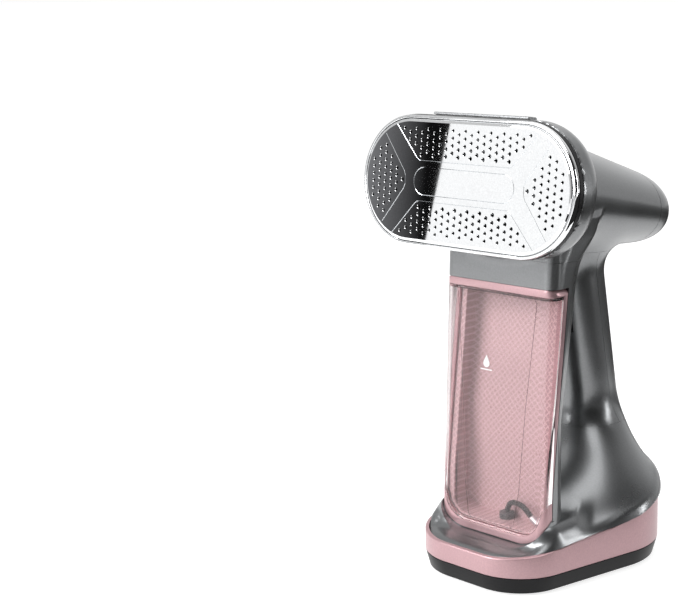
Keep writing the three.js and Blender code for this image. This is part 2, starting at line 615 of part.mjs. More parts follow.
function buildHandle() {
  const tube = gripSolid(0).subtract(gripSolid(WALL)).subtract(barrelSolid(-GAP));
  const middle = (TRIGGER.top + TRIGGER.bottom) / 2;
  const slot = solid(block(
    [-TRIGGER.width / 2 - GAP, gripCentre(middle) - 32, TRIGGER.bottom - 1],
    [TRIGGER.width / 2 + GAP, gripCentre(middle) - 4, TRIGGER.top + 1],
  ));
  place("handle_front_cover", tube.intersect(gripHalf(-1, GAP / 2)).subtract(slot), graphite);
  const slotFront = gripCentre(SLIDER.z) + 8;
  const sliderSlot = solid(block([-4, slotFront, SLIDER.z - 8], [4, slotFront + 22, SLIDER.z + 8]));
  place("handle_rear_shell", tube.intersect(gripHalf(1, GAP / 2)).subtract(sliderSlot), graphite);
}

function buildControls() {
  const sectionAt = (z) => gripCentre(z) - GRIP.halfDepth;
  const profile = new THREE.Shape();
  profile.moveTo(sectionAt(TRIGGER.top) + 14, TRIGGER.top);
  profile.lineTo(sectionAt(TRIGGER.top) - 1.5, TRIGGER.top);
  profile.quadraticCurveTo(sectionAt(172) - 3.5, 172, sectionAt(162) - 5.5, 158);
  const tip = sectionAt(TRIGGER.bottom) - 1;
  profile.quadraticCurveTo(sectionAt(152) - 6.5, TRIGGER.bottom, tip, TRIGGER.bottom);
  profile.lineTo(sectionAt(TRIGGER.bottom) + 5, TRIGGER.bottom);
  profile.lineTo(sectionAt(174) + 6, 174);
  profile.lineTo(sectionAt(178) + 14, 178);
  const pivotY = sectionAt(TRIGGER.pivotZ) + 10;
  profile.holes.push(new THREE.Path().absarc(pivotY, TRIGGER.pivotZ, 1.55, 0, Math.PI * 2, true));
  const extrusion = { depth: TRIGGER.width, bevelEnabled: false, curveSegments: 6 };
  const trigger = new THREE.ExtrudeGeometry(profile, extrusion);
  trigger.applyMatrix4(new THREE.Matrix4().makeBasis(
    new THREE.Vector3(0, 1, 0), new THREE.Vector3(0, 0, 1), new THREE.Vector3(1, 0, 0),
  ));
  trigger.translate(-TRIGGER.width / 2, 0, 0);
  place("steam_trigger", trigger, black);

  place("trigger_pin", rod([-11, pivotY, TRIGGER.pivotZ], [11, pivotY, TRIGGER.pivotZ], 1.5, 16), steel);
  const coil = solid(rod([8.2, pivotY, TRIGGER.pivotZ], [10.6, pivotY, TRIGGER.pivotZ], 2.8, 16))
    .subtract(solid(rod([8, pivotY, TRIGGER.pivotZ], [12, pivotY, TRIGGER.pivotZ], 1.8, 16)));
  place("trigger_spring", coil, steel);
  const switchFront = sectionAt(160) + 13;
  place("microswitch", block([-4, switchFront, 152], [4, switchFront + 8, 170]), moulding);

  // A plate along the grip's leaning back, from `low` to `high` and from `near` to `far` outside it.
  const onBack = (half, low, high, near, far) => solid(skin([-half, half].map((x) => {
    return [[near, low], [far, low], [far, high], [near, high]]
      .map(([out, z]) => new THREE.Vector3(x, gripCentre(z) + GRIP.halfDepth + out, z));
  })));
  const pad = onBack(6, SLIDER.z - 9, SLIDER.z + 3, 0.4, 2.8)
    .add(onBack(3.4, SLIDER.z - 7.4, SLIDER.z + 1, -5, 0.6));
  place("lock_slider", pad, black);

  place("power_button", rod([0, 100, BUTTON.z], [0, NOSE_END + 0.5, BUTTON.z], BUTTON.radius, 24), black);
  const lensRing = solid(rod([0, 94.6, BUTTON.z], [0, 97.4, BUTTON.z], BUTTON.radius + 3, 24));
  const lensHole = solid(rod([0, 94, BUTTON.z], [0, 98, BUTTON.z], BUTTON.radius - 3, 24));
  place("indicator_ring", lensRing.subtract(lensHole), smoked);
}

// ---------------------------------------------------------------- steam works
function buildSteamWorks() {
  const chamber = solid(skin([headRing(38, 28, 10), headRing(38, 30, 24)]));
  const room = solid(skin([headRing(34, 24, 8), headRing(34, 24, 20)]));
  const inlet = solid(rod([0, -46, 262], [0, -38, 262], 3.4, 14));
  place("steam_chamber", chamber.subtract(room).add(inlet), aluminium);
  place("chamber_gasket", skin([
    headRing(38, 33, 7), headRing(38, 33, 9.6), headRing(38, 29, 9.6), headRing(38, 29, 7),
  ], true), rubber);
  const element = new THREE.ExtrudeGeometry(new THREE.Shape().absarc(0, 0, 3, 0, Math.PI * 2), {
    steps: 24,
    curveSegments: 5,
    extrudePath: new THREE.CatmullRomCurve3([
      [-14, -39, 246], [-32, -40, 240], [-43, -40, 258], [-32, -38, 276], [0, -37, 279], [32, -38, 276],
      [43, -40, 258], [32, -40, 240], [14, -39, 246],
    ].map((p) => new THREE.Vector3(...p))),
  });
  place("heating_element", element, copper);
  place("thermostat", rod([-16, -40, 264], [-16, -31, 264], 7, 20), moulding);
  place("thermal_fuse", rod([10, -34, 250], [24, -34, 250], 2.6, 14), steel);
  place("circuit_board", block([-26, 12, 232], [26, 66, 234]), board);
  place("board_relay", block([-8, 20, 234.4], [8, 36, 246]), moulding);
  place("riser_hose", hose([
    [0, 52, 27], [3, 60, 34], [8, 60, 60], [9, 58, 95], [9, 51, 130], [9, 45, 165], [8, 38, 200],
    [5, 22, 219],
    [0, -8, 242], [0, -26, 258], [0, -36, 262],
  ], 2.4, 30), rubber);
  place("feed_hose", hose([[0, -6, 27], [0, -14, 24], [0, -24, 21], [0, -30, 20]], 2.2, 12), rubber);
}

buildBase();
buildBaseShell();
buildBaseInside();
buildColumn();
buildTank();
buildHead();
buildBarrel();
buildHandle();
buildControls();
buildSteamWorks();

export default steamer;
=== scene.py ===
"""The looks of the garment steamer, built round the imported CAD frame. Lengths here are millimetres until they
are handed to Blender; +Z is up, and the steam plate faces -Y."""
import math

import bmesh
import bpy
import numpy as np
from mathutils import Matrix, Vector


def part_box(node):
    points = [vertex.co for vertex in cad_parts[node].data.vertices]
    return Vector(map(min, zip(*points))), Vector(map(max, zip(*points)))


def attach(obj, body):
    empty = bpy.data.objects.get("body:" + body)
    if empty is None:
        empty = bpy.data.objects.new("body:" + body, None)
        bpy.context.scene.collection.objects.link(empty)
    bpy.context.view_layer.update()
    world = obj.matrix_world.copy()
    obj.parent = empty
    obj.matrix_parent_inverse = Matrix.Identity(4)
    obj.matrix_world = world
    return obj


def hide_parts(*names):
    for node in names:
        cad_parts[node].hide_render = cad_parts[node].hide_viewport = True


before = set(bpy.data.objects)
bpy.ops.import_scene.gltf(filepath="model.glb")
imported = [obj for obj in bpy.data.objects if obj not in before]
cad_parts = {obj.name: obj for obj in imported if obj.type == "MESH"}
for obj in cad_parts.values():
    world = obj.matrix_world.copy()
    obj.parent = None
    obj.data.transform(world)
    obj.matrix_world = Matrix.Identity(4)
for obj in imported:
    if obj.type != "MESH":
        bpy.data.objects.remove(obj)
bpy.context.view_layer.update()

MM = 0.001
SCENE = bpy.context.scene


def node_box(name):
    """Lowest and highest corner of a CAD node, in millimetres."""
    low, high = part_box(name)
    return np.array(low) / MM, np.array(high) / MM


# ---- driving dimensions, in millimetres
STEP = 1.3  # grid of the meshes made from fields
CAMERA_PLACE = (599.88, -755.07, 374.37)
CAMERA_TURN = (46.116, 11.774, -1.402)  # azimuth, elevation and roll, in degrees
CAMERA_SENSOR, CAMERA_LENS = 36, 79.73

BARREL_FRONT, NOSE_START, NOSE_END = -42.15, 82.0, node_box("rear_cap")[1][1]
BARREL_POWER, NOSE_POWER = 2.07, 3.6  # how square the barrel's section and its rear end are
CAP_SEAM = node_box("barrel_shell")[1][1] + 0.15
HEAD_Y, HEAD_Z, HEAD_TILT = -71.0, 256.9, math.radians(6)
HEAD_STRAIGHT, HEAD_RADIUS = 44.3, 41.0
BADGE_HALF, BADGE_RADIUS = 31.5, 8.6  # the blank badge in the middle of the plate
PLATE_LEVEL, GROOVE_FLOOR, GROOVE_HALF = -2.2, -1.1, 0.45  # depths and half width of the plate's grooves
EDGE_TOP, EDGE_LOW = (-12.7, 36.8), (-27.5, -36.3)  # x and height where the plate's dark reflection ends

COLUMN_HALF, COLUMN_TOP, COLUMN_CORNER = 44.1, 206.0, 7.0
COLUMN_BULGE, COLUMN_WALL, COLUMN_LOW = 15, 0.9, 25.8
COLUMN_REAR = [(20, -33), (105, -33), (190, -19.5), (200, -17), (207, -13.5), (213, -6), (222, 4), (240, 8)]
NECK_SEAM, NECK_SLOPE = 206.0, 0.07  # where the column and the handle meet the barrel
NECK_LOW, NECK_HIGH = 196.0, 212.0
OPENING_MIDDLE = 8.0  # y between the column and the handle, in the hand opening

GRIP_HALF_DEPTH, GRIP_LEAN = 20.0, 0.19
FOOT_SEAM, BASE_OPEN, SADDLE_TOP = 83.7, 17.0, 54.0
BASE_FRONT, BASE_REAR = (15.2, -38.3, 34.3), (15.4, 30.5, 46.6)  # x, y and radius of the base's corner arcs
WALL, HANDLE_WALL, SEAM = 2.2, 1.8, 0.12

TANK_LOW, TANK_HIGH = node_box("tank_frame")[0][2], node_box("tank_frame")[1][2]
TANK_BAND, TANK_SIDE_BAND, TANK_GAP, TANK_WALL = 4.6, 3.6, 0.3, 2.0
TANK_CORNER, TANK_TOP_CORNER = 22.0, 5.0
TANK_REAR = [(20, -40.4), (62, -39.6), (184, -25.5), (200, -24)]  # rear edge of the tank's sides, by height
BELLY_HALF = 37.4  # half width of the tank's rear part, inside the column


# ---- camera
def make_camera():
    azimuth, elevation, roll = (math.radians(angle) for angle in CAMERA_TURN)
    back = Vector((
        math.sin(azimuth) * math.cos(elevation),
        -math.cos(azimuth) * math.cos(elevation),
        math.sin(elevation),
    ))
    right = Vector((math.cos(azimuth), math.sin(azimuth), 0))
    up = back.cross(right)
    rolled_right = right * math.cos(roll) + up * math.sin(roll)
    rolled_up = up * math.cos(roll) - right * math.sin(roll)
    data = bpy.data.cameras.new("camera")
    data.sensor_width, data.lens = CAMERA_SENSOR, CAMERA_LENS
    camera = bpy.data.objects.new("camera", data)
    SCENE.collection.objects.link(camera)
    turn = Matrix((rolled_right, rolled_up, back)).transposed()
    camera.matrix_world = Matrix.Translation(Vector(CAMERA_PLACE) * MM) @ turn.to_4x4()
    SCENE.camera = camera


# ---- shape fields, in millimetres
# A field is a function of x, y, z arrays: negative inside, zero on the surface, roughly a distance outside.


def blend_union(a, b, reach):
    """The nearer of two fields, with a fillet of about `reach` where they meet."""
    h = np.clip(reach - np.abs(a - b), 0, None) / reach
    return np.minimum(a, b) - h * h * reach / 4


def blend_cut(a, b, reach):
    """What is inside both fields, with a rounded edge of about `reach`."""
    return -blend_union(-a, -b, reach)


def smooth_line(points, reach):
    """A function through (position, value) pairs whose corners are rounded over about `reach`."""
    at, values = zip(*points)
    grid = np.arange(at[0] - 3 * reach, at[-1] + 3 * reach, 0.5)
    window = np.hanning(int(4 * reach) + 3)
    wide = int(len(window) / 2)
    padded = np.pad(np.interp(grid, at, values), wide, mode="edge")
    rounded = np.convolve(padded, window / window.sum(), mode="same")[wide:wide + len(grid)]
    return lambda p: np.interp(p, grid, rounded)


def rounded_sum(a, b, power):
    return (np.abs(a) ** power + np.abs(b) ** power) ** (1 / power)


def superoval(a, b, half_a, half_b, power):
    size = rounded_sum(a / half_a, b / half_b, power)
    return np.hypot(a, b) * (1 - 1 / np.maximum(size, 1e-6))


def barrel_top(y):
    return 282 - 0.34 * y


def barrel_bottom(y):
    return 206.5 - NECK_SLOPE * y


def barrel_half(y):
    return 45 - 0.094 * y + 0.0035 * np.minimum(y, 0) ** 2


def barrel_field(x, y, z):
    half = barrel_half(y)
    centre = (barrel_top(y) + barrel_bottom(y)) / 2
    rise = (barrel_top(y) - barrel_bottom(y)) / 2
    section = rounded_sum(x / half, (z - centre) / rise, BARREL_POWER)
    nose = np.clip(y - NOSE_START, 0, None) / (NOSE_END - NOSE_START)
    size = rounded_sum(section, nose, NOSE_POWER)
    reach = np.sqrt(x ** 2 + (z - centre) ** 2 + np.clip(y - NOSE_START, 0, None) ** 2)
    body = reach * (1 - 1 / np.maximum(size, 1e-6))
    return np.maximum(body, BARREL_FRONT - y)


def head_local(y, z):
    """Depth behind the head's rim, and height over its middle."""
    c, s = math.cos(HEAD_TILT), math.sin(HEAD_TILT)
    dy, dz = y - HEAD_Y, z - HEAD_Z
    return dy * c - dz * s, dy * s + dz * c


def oval(x, v, radius):
    """Distance from the flat-sided oval of the head."""
    return np.hypot(np.clip(np.abs(x) - HEAD_STRAIGHT, 0, None), v) - radius


def collar_field(x, y, z, front=5.7, back=28.0, round_off=15.0):
    depth, v = head_local(y, z)
    side = oval(x, v, HEAD_RADIUS + 0.3) + round_off
    rear = depth - (back - round_off)
    corner = np.hypot(np.clip(side, 0, None), np.clip(rear, 0, None))
    body = corner + np.minimum(np.maximum(side, rear), 0) - round_off
    return np.maximum(body, front - depth)


def column_front(z):
    return -39.4 - (COLUMN_TOP - z) * 0.0482


column_rear = smooth_line(COLUMN_REAR, 4)


def rounded_box(a, b, half_a, half_b, radius):
    qa, qb = np.abs(a) - (half_a - radius), np.abs(b) - (half_b - radius)
    return np.hypot(np.clip(qa, 0, None), np.clip(qb, 0, None)) + np.minimum(np.maximum(qa, qb), 0) - radius


def column_field(x, y, z):
    front, rear = column_front(z), column_rear(z)
    middle, half_depth = (front + rear) / 2, (rear - front) / 2
    radius = np.where(y < middle, COLUMN_CORNER, 2.5)
    face = rounded_box(x, y - middle, COLUMN_HALF, half_depth, radius)
    swell = np.interp(z, [207, 222], [COLUMN_BULGE, 4])
    back = np.maximum(superoval(x, np.clip(y - rear + 6, 0, None), 42.8, swell + 6, 3.4), middle - y)
    return np.maximum(blend_union(face, back, 3), z - 232)


def grip_centre(z):
    return 39 + (190 - z) * GRIP_LEAN


foot_width = smooth_line([(16, 59), (34, 58), (48, 55), (58, 48), (68, 38), (78, 28), (88, 21), (100, 18),
                          (240, 18)], 12)
foot_depth = smooth_line([(16, 43), (34, 43), (48, 42), (58, 39), (68, 34.5), (78, 28), (88, 22.5), (100, 20),
                          (240, 20)], 12)
foot_shift = smooth_line([(16, -38), (34, -35), (48, -31), (58, -24), (68, -15), (78, -7), (88, -1.5),
                          (100, 0), (240, 0)], 12)


def grip_field(x, y, z):
    """The handle, spreading at the bottom into its swept foot."""
    centre = grip_centre(z) + foot_shift(z)
    return np.maximum(superoval(x, y - centre, foot_width(z), foot_depth(z), 2.2), z - 236)


def base_plan(x, y, grow=0.0):
    """Distance from the base's outline: a rounded trapezium, wider at the rear."""
    (front_x, front_y, front_r), (rear_x, rear_y, rear_r) = BASE_FRONT, BASE_REAR
    front_r, rear_r = front_r + grow, rear_r + grow
    inset = np.interp(y, [front_y, rear_y], [front_x, rear_x])
    px, py = np.clip(np.abs(x) - inset, 0, None), y - front_y
    length = rear_y - front_y
    b = (front_r - rear_r) / length
    a = math.sqrt(1 - b * b)
    k = -b * px + a * py
    side = a * px + b * py - front_r
    front = np.hypot(px, py) - front_r
    rear = np.hypot(px, py - length) - rear_r
    return np.where(k < 0, front, np.where(k > a * length, rear, side))


skirt_top = smooth_line([(-77, 24.5), (-45, 28.5), (-5, 31.5), (20, 35.5), (57, 45), (70, 50.5), (80, 51)], 8)


def shelf_field(x, y, z):
    inside = np.clip(-base_plan(x, y), 0, None)
    shoulder = skirt_top(y) + 2.6 + 4.5 * (1 - np.exp(-inside / 14))
    ledge = TANK_LOW - 0.8
    front = np.clip((y + 20) / 14, 0, 1) + np.clip((np.abs(x) - 40) / 9, 0, 1)
    height = np.where(shoulder > ledge, ledge + (shoulder - ledge) * np.clip(front, 0, 1), shoulder)
    return blend_cut(base_plan(x, y, 2.2), (z - height) * 0.96, 7)


saddle_width = smooth_line([(16, 48), (26, 46), (44, 38), (58, 27), (68, 19), (74, 12), (80, 4)], 6)
saddle_depth = smooth_line([(16, 41), (26, 40), (44, 38), (58, 36), (68, 33), (74, 30), (80, 26)], 6)
saddle_centre = smooth_line([(16, 0), (26, 0), (44, 2), (58, 6), (68, 10), (74, 14), (80, 17)], 6)


def saddle_field(x, y, z):
    """The swell that closes the bottom of the hand opening."""
    sides = superoval(x, y - saddle_centre(z), saddle_width(z), saddle_depth(z), 2.4)
    return blend_cut(sides, z - SADDLE_TOP, 18)


def upper_body(x, y, z):
    head = blend_union(barrel_field(x, y, z), collar_field(x, y, z), 9)
    return blend_union(blend_union(head, column_field(x, y, z), 7), grip_field(x, y, z), 20)


def upper_field(x, y, z):
    """The barrel with its collar, and the roots of the column and the handle."""
    return np.maximum(upper_body(x, y, z), NECK_LOW - z)


def column_piece_field(x, y, z):
    """The column up to just inside the barrel, in front of the hand opening's middle."""
    return np.maximum.reduce([upper_body(x, y, z), z - NECK_HIGH, y - OPENING_MIDDLE, COLUMN_LOW - z])


def grip_piece_field(x, y, z):
    """The handle, its foot, and the shelf over the base, up to just inside the barrel."""
    top = np.maximum(upper_body(x, y, z), OPENING_MIDDLE - y)
    mound = blend_cut(rounded_box(x, y + 30, 49.0, 21, 14), z - 42, 9)
    base = blend_union(shelf_field(x, y, z), saddle_field(x, y, z), 16)
    base = blend_union(base, mound, 9)
    grip = np.where(z < 120, grip_field(x, y, z), top)
    body = blend_union(grip, base, 22)
    return np.maximum(body, z - NECK_HIGH)


# ---- meshes from fields
def net_of(field, low, high, step):
    """Quads over the zero surface of a field in a box: one point for each cell that the surface crosses."""
    axes = [np.arange(low[i], high[i] + step, step) for i in range(3)]
    values = field(*np.meshgrid(*axes, indexing="ij"))
    inside = values < 0
    count = np.zeros([n - 1 for n in inside.shape], int)
    for dx in (0, 1):
        for dy in (0, 1):
            for dz in (0, 1):
                shape = count.shape
                count += inside[dx:dx + shape[0], dy:dy + shape[1], dz:dz + shape[2]]
    cells = (count > 0) & (count < 8)
    numbers = np.full(count.shape, -1)
    numbers[cells] = np.arange(cells.sum())
    places = np.argwhere(cells)
    points = np.stack([axes[i][0] + (places[:, i] + 0.5) * step for i in range(3)], 1)
    quads = []
    for axis in range(3):
        other = [(axis + 1) % 3, (axis + 2) % 3]
        first = [slice(None)] * 3
        second = [slice(None)] * 3
        first[axis], second[axis] = slice(0, -1), slice(1, None)
        a, b = inside[tuple(first)], inside[tuple(second)]
        for crossing, flip in ((a & ~b, False), (~a & b, True)):
            at = np.argwhere(crossing)
            ok = (at[:, other[0]] > 0) & (at[:, other[1]] > 0)
            for o in other:
                ok &= at[:, o] < inside.shape[o] - 1
            at = at[ok]
            ring = []
            for u, w in ((-1, -1), (0, -1), (0, 0), (-1, 0)):
                cell = at.copy()
                cell[:, other[0]] += u
                cell[:, other[1]] += w
                ring.append(numbers[tuple(cell.T)])
            ring = np.stack(ring if not flip else ring[::-1], 1)
            quads.append(ring)
    return points, np.concatenate(quads)


def onto_surface(field, points, rounds=3, nudge=0.05):
    """Moves points along the field's slope onto its zero surface."""
    for _ in range(rounds):
        x, y, z = points.T
        value = field(x, y, z)
        slope = np.stack([
            field(x + nudge, y, z) - field(x - nudge, y, z),
            field(x, y + nudge, z) - field(x, y - nudge, z),
            field(x, y, z + nudge) - field(x, y, z - nudge),
        ], 1) / (2 * nudge)
        steep = np.maximum((slope ** 2).sum(1), 0.05)
        move = -(value / steep)[:, None] * slope
        length = np.linalg.norm(move, axis=1, keepdims=True)
        points = points + move * np.minimum(1, 1.5 / np.maximum(length, 1e-9))
    return points


def relaxed(points, quads, part=0.6):
    """Moves each point towards the middle of its neighbours."""
    total = np.zeros_like(points)
    weight = np.zeros(len(points))
    for i in range(4):
        for j in (1, 3):
            np.add.at(total, quads[:, i], points[quads[:, (i + j) % 4]])
            np.add.at(weight, quads[:, i], 1)
    return points + (total / np.maximum(weight, 1)[:, None] - points) * part


def mesh_object(name, points, faces, smooth=True):
    mesh = bpy.data.meshes.new(name)
    mesh.from_pydata((np.asarray(points) * MM).tolist(), [], [list(map(int, f)) for f in faces])
    mesh.update()
    if smooth:
        mesh.shade_smooth()
    made = bpy.data.objects.new(name, mesh)
    SCENE.collection.objects.link(made)
    return made


def field_object(name, body, low, high, step):
    """A closed mesh of the part of a field's body that lies inside a box."""
    middle, half = (np.array(low) + high) / 2, (np.array(high) - low) / 2 - 1.7 * step

    def field(x, y, z):
        sides = [np.abs(p - middle[i]) - half[i] for i, p in enumerate((x, y, z))]
        return np.maximum(body(x, y, z), np.maximum.reduce(sides))

    points, quads = net_of(field, low, high, step)
    points = onto_surface(field, relaxed(points, quads), 2)
    for _ in range(2):
        points = onto_surface(field, relaxed(points, quads, 0.5), 2)
    return mesh_object(name, points, quads)


def cut_by(target, cutter, operation="DIFFERENCE"):
    """Applies a boolean to the target's mesh, and removes the cutter."""
    modifier = target.modifiers.new("cut", "BOOLEAN")
    modifier.operation = operation
    modifier.solver = "MANIFOLD"
    modifier.object = cutter
    apply_modifiers(target)
    bpy.data.objects.remove(cutter)


def apply_modifiers(target):
    graph = bpy.context.evaluated_depsgraph_get()
    mesh = bpy.data.meshes.new_from_object(target.evaluated_get(graph))
    old = target.data
    target.modifiers.clear()
    target.data = mesh
    mesh.name = target.name
    bpy.data.meshes.remove(old)


def box_object(name, low, high):
    corners = [(x, y, z) for x in (low[0], high[0]) for y in (low[1], high[1]) for z in (low[2], high[2])]
    faces = [(0, 1, 3, 2), (4, 6, 7, 5), (0, 4, 5, 1), (2, 3, 7, 6), (0, 2, 6, 4), (1, 5, 7, 3)]
    return mesh_object(name, corners, faces, smooth=False)


def split(source, point, normal, name):
    """A new object from the part of a mesh that a plane's normal points to, left open at the cut."""
    mesh = source.data.copy()
    work = bmesh.new()
    work.from_mesh(mesh)
    everything = work.verts[:] + work.edges[:] + work.faces[:]
    place, facing = Vector(point) * MM, Vector(normal)
    bmesh.ops.bisect_plane(work, geom=everything, dist=1e-7, plane_co=place, plane_no=facing,
                           clear_inner=True)
    work.to_mesh(mesh)
    work.free()
    mesh.name = name
    made = bpy.data.objects.new(name, mesh)
    SCENE.collection.objects.link(made)
    return made


def walled(piece, thickness):
    """Gives an open skin its wall, inwards, with a rim at each cut."""
    modifier = piece.modifiers.new("wall", "SOLIDIFY")
    modifier.thickness = thickness * MM
    modifier.offset = -1
    modifier.use_rim = True
    apply_modifiers(piece)
    sharpen(piece)


def sharpen(piece, degrees=35):
    piece.data.shade_smooth()
    piece.data.set_sharp_from_angle(angle=math.radians(degrees))


def softened(piece, width, degrees=40, segments=2):
    """Rounds a piece's hard edges."""
    modifier = piece.modifiers.new("round", "BEVEL")
    modifier.width = width * MM
    modifier.segments = segments
    modifier.limit_method = "ANGLE"
    modifier.angle_limit = math.radians(degrees)
    modifier.harden_normals = False
    apply_modifiers(piece)
    sharpen(piece)


def loft(name, rings, looped=False):
    """A closed skin through rings of points that all have the same count."""
    count = len(rings[0])
    points = np.concatenate([np.asarray(ring, float) for ring in rings])
    faces = []
    for r in range(len(rings) if looped else len(rings) - 1):
        after = (r + 1) % len(rings) * count
        for i in range(count):
            j = (i + 1) % count
            faces.append((r * count + i, r * count + j, after + j, after + i))
    if not looped:
        faces.append(tuple(range(count))[::-1])
        faces.append(tuple(range((len(rings) - 1) * count, len(rings) * count)))
    made = mesh_object(name, points, faces)
    work = bmesh.new()
    work.from_mesh(made.data)
    if work.calc_volume(signed=True) < 0:
        bmesh.ops.reverse_faces(work, faces=work.faces[:])
    work.to_mesh(made.data)
    work.free()
    sharpen(made)
    return made


def arc(centre, radius, start, end, steps):
    angles = np.linspace(math.radians(start), math.radians(end), steps + 1)
    return [(centre[0] + radius * math.cos(t), centre[1] + radius * math.sin(t)) for t in angles]


def prism(name, outline, place, low, high):
    """A straight bar whose section is `outline`; place(a, b, t) puts it in space, with t from low to high."""
    return loft(name, [[place(a, b, t) for a, b in outline] for t in (low, high)])


def rod(name, start, end, radius, sides=32):
    start, end = Vector(start), Vector(end)
    turn = (end - start).to_track_quat("Z", "Y")
    ring = [turn @ Vector((radius * math.cos(t), radius * math.sin(t), 0))
            for t in np.linspace(0, 2 * math.pi, sides, endpoint=False)]
    return loft(name, [[tuple(p + end_point) for p in ring] for end_point in (start, end)])


def joined(name, pieces):
    """One object from several, whose solids stay separate."""
    work = bmesh.new()
    for piece in pieces:
        work.from_mesh(piece.data)
        bpy.data.objects.remove(piece)
    mesh = bpy.data.meshes.new(name)
    work.to_mesh(mesh)
    work.free()
    made = bpy.data.objects.new(name, mesh)
    SCENE.collection.objects.link(made)
    return made


def dress(piece, finish, body, slot, *replaced):
    """Gives a piece its finish and its body, and hides the CAD nodes that it stands for; the slot argument is
    not used.
    """
    piece.data.materials.clear()
    piece.data.materials.append(finish)
    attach(piece, body)
    if replaced:
        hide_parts(*replaced)


# ---- materials
def nodes_of(material):
    tree = material.node_tree
    return tree, tree.nodes["Principled BSDF"]


def add_node(tree, kind, inputs=None, **settings):
    node = tree.nodes.new(kind)
    for key, value in settings.items():
        setattr(node, key, value)
    for key, value in (inputs or {}).items():
        if isinstance(value, bpy.types.NodeSocket):
            tree.links.new(value, node.inputs[key])
        else:
            node.inputs[key].default_value = value
    return node


def spread(tree, value, from_low, from_high, to_low, to_high):
    return add_node(tree, "ShaderNodeMapRange", {
        0: value, 1: from_low, 2: from_high, 3: to_low, 4: to_high}).outputs[0]


def blend(tree, factor, a, b, **options):
    return add_node(tree, "ShaderNodeMix", {0: factor, 6: a, 7: b}, data_type="RGBA", **options).outputs[2]


def finish_of(name, colour, roughness, metallic=0.0, grain=900, grain_depth=0.02, mottling=0.06,
              gloss_change=0.06, wear=0.15, coat=0.0, **sockets):
    """A finish with slow colour mottling, gloss changes, a fine grain, and paler worn edges."""
    made = bpy.data.materials.new(name)
    made.use_nodes = True
    tree, shader = nodes_of(made)
    place = add_node(tree, "ShaderNodeTexCoord").outputs["Object"]
    slow = add_node(tree, "ShaderNodeTexNoise", {"Vector": place, "Scale": 22.0, "Detail": 4.0}).outputs[0]
    fine = add_node(tree, "ShaderNodeTexNoise", {"Vector": place, "Scale": grain, "Detail": 3.0}).outputs[0]
    shade = [min(c * (1 - mottling), 1) for c in colour]
    light = [min(c * (1 + mottling), 1) for c in colour]
    mixed = blend(tree, spread(tree, slow, 0.3, 0.7, 0, 1), (*shade, 1), (*light, 1))
    speck = spread(tree, fine, 0.3, 0.7, 0.94, 1.06)
    flaked = blend(tree, 1.0, mixed, speck, blend_type="MULTIPLY")
    edge = add_node(tree, "ShaderNodeNewGeometry").outputs["Pointiness"]
    worn = spread(tree, edge, 0.53, 0.62, 0, wear)
    pale = [min(c * 1.5 + 0.12, 1) for c in colour]
    tree.links.new(blend(tree, worn, flaked, (*pale, 1)), shader.inputs["Base Color"])
    gloss = spread(tree, slow, 0.3, 0.7, roughness - gloss_change / 2, roughness + gloss_change / 2)
    tree.links.new(gloss, shader.inputs["Roughness"])
    bump = add_node(tree, "ShaderNodeBump", {"Strength": 0.25, "Distance": grain_depth * MM, "Height": fine})
    tree.links.new(bump.outputs[0], shader.inputs["Normal"])
    shader.inputs["Metallic"].default_value = metallic
    shader.inputs["Coat Weight"].default_value = coat
    for key, value in sockets.items():
        shader.inputs[key.replace("_", " ")].default_value = value
    return made


def make_finishes():
    return {
        "graphite": finish_of("graphite paint", (0.215, 0.22, 0.225), 0.3, 0.85, mottling=0.03, coat=0.1),
        "rose": finish_of("rose paint", (0.50, 0.315, 0.335), 0.36, 0.55, mottling=0.03, coat=0.12),
        "black": finish_of("black moulding", (0.010, 0.010, 0.011), 0.4, mottling=0.2, wear=0.05,
                           Specular_IOR_Level=0.22),
        "chrome": finish_of("polished chrome", (0.86, 0.87, 0.88), 0.02, 1.0, mottling=0.01,
                            gloss_change=0.01, grain_depth=0.0, wear=0.0),
        "rubber": finish_of("rubber", (0.03, 0.03, 0.032), 0.75, mottling=0.2, grain_depth=0.06),
        "steel": finish_of("turned steel", (0.55, 0.56, 0.58), 0.3, 1.0, gloss_change=0.12),
        "aluminium": finish_of("cast aluminium", (0.45, 0.46, 0.48), 0.5, 1.0, grain=300, grain_depth=0.1),
        "moulding": finish_of("grey moulding", (0.06, 0.062, 0.065), 0.55, grain_depth=0.04),
        "board": finish_of("circuit board", (0.03, 0.16, 0.07), 0.4, mottling=0.15),
        "copper": finish_of("copper", (0.62, 0.3, 0.18), 0.35, 1.0, mottling=0.1),
        "smoked": finish_of("smoked tank", (0.68, 0.62, 0.625), 0.1, mottling=0.02, gloss_change=0.05,
                            grain_depth=0.002, wear=0.0, Transmission_Weight=1.0, IOR=1.46),
        "lattice": lattice_finish(),
        "mark": finish_of("pale print", (0.85, 0.85, 0.86), 0.5, wear=0.0),
    }


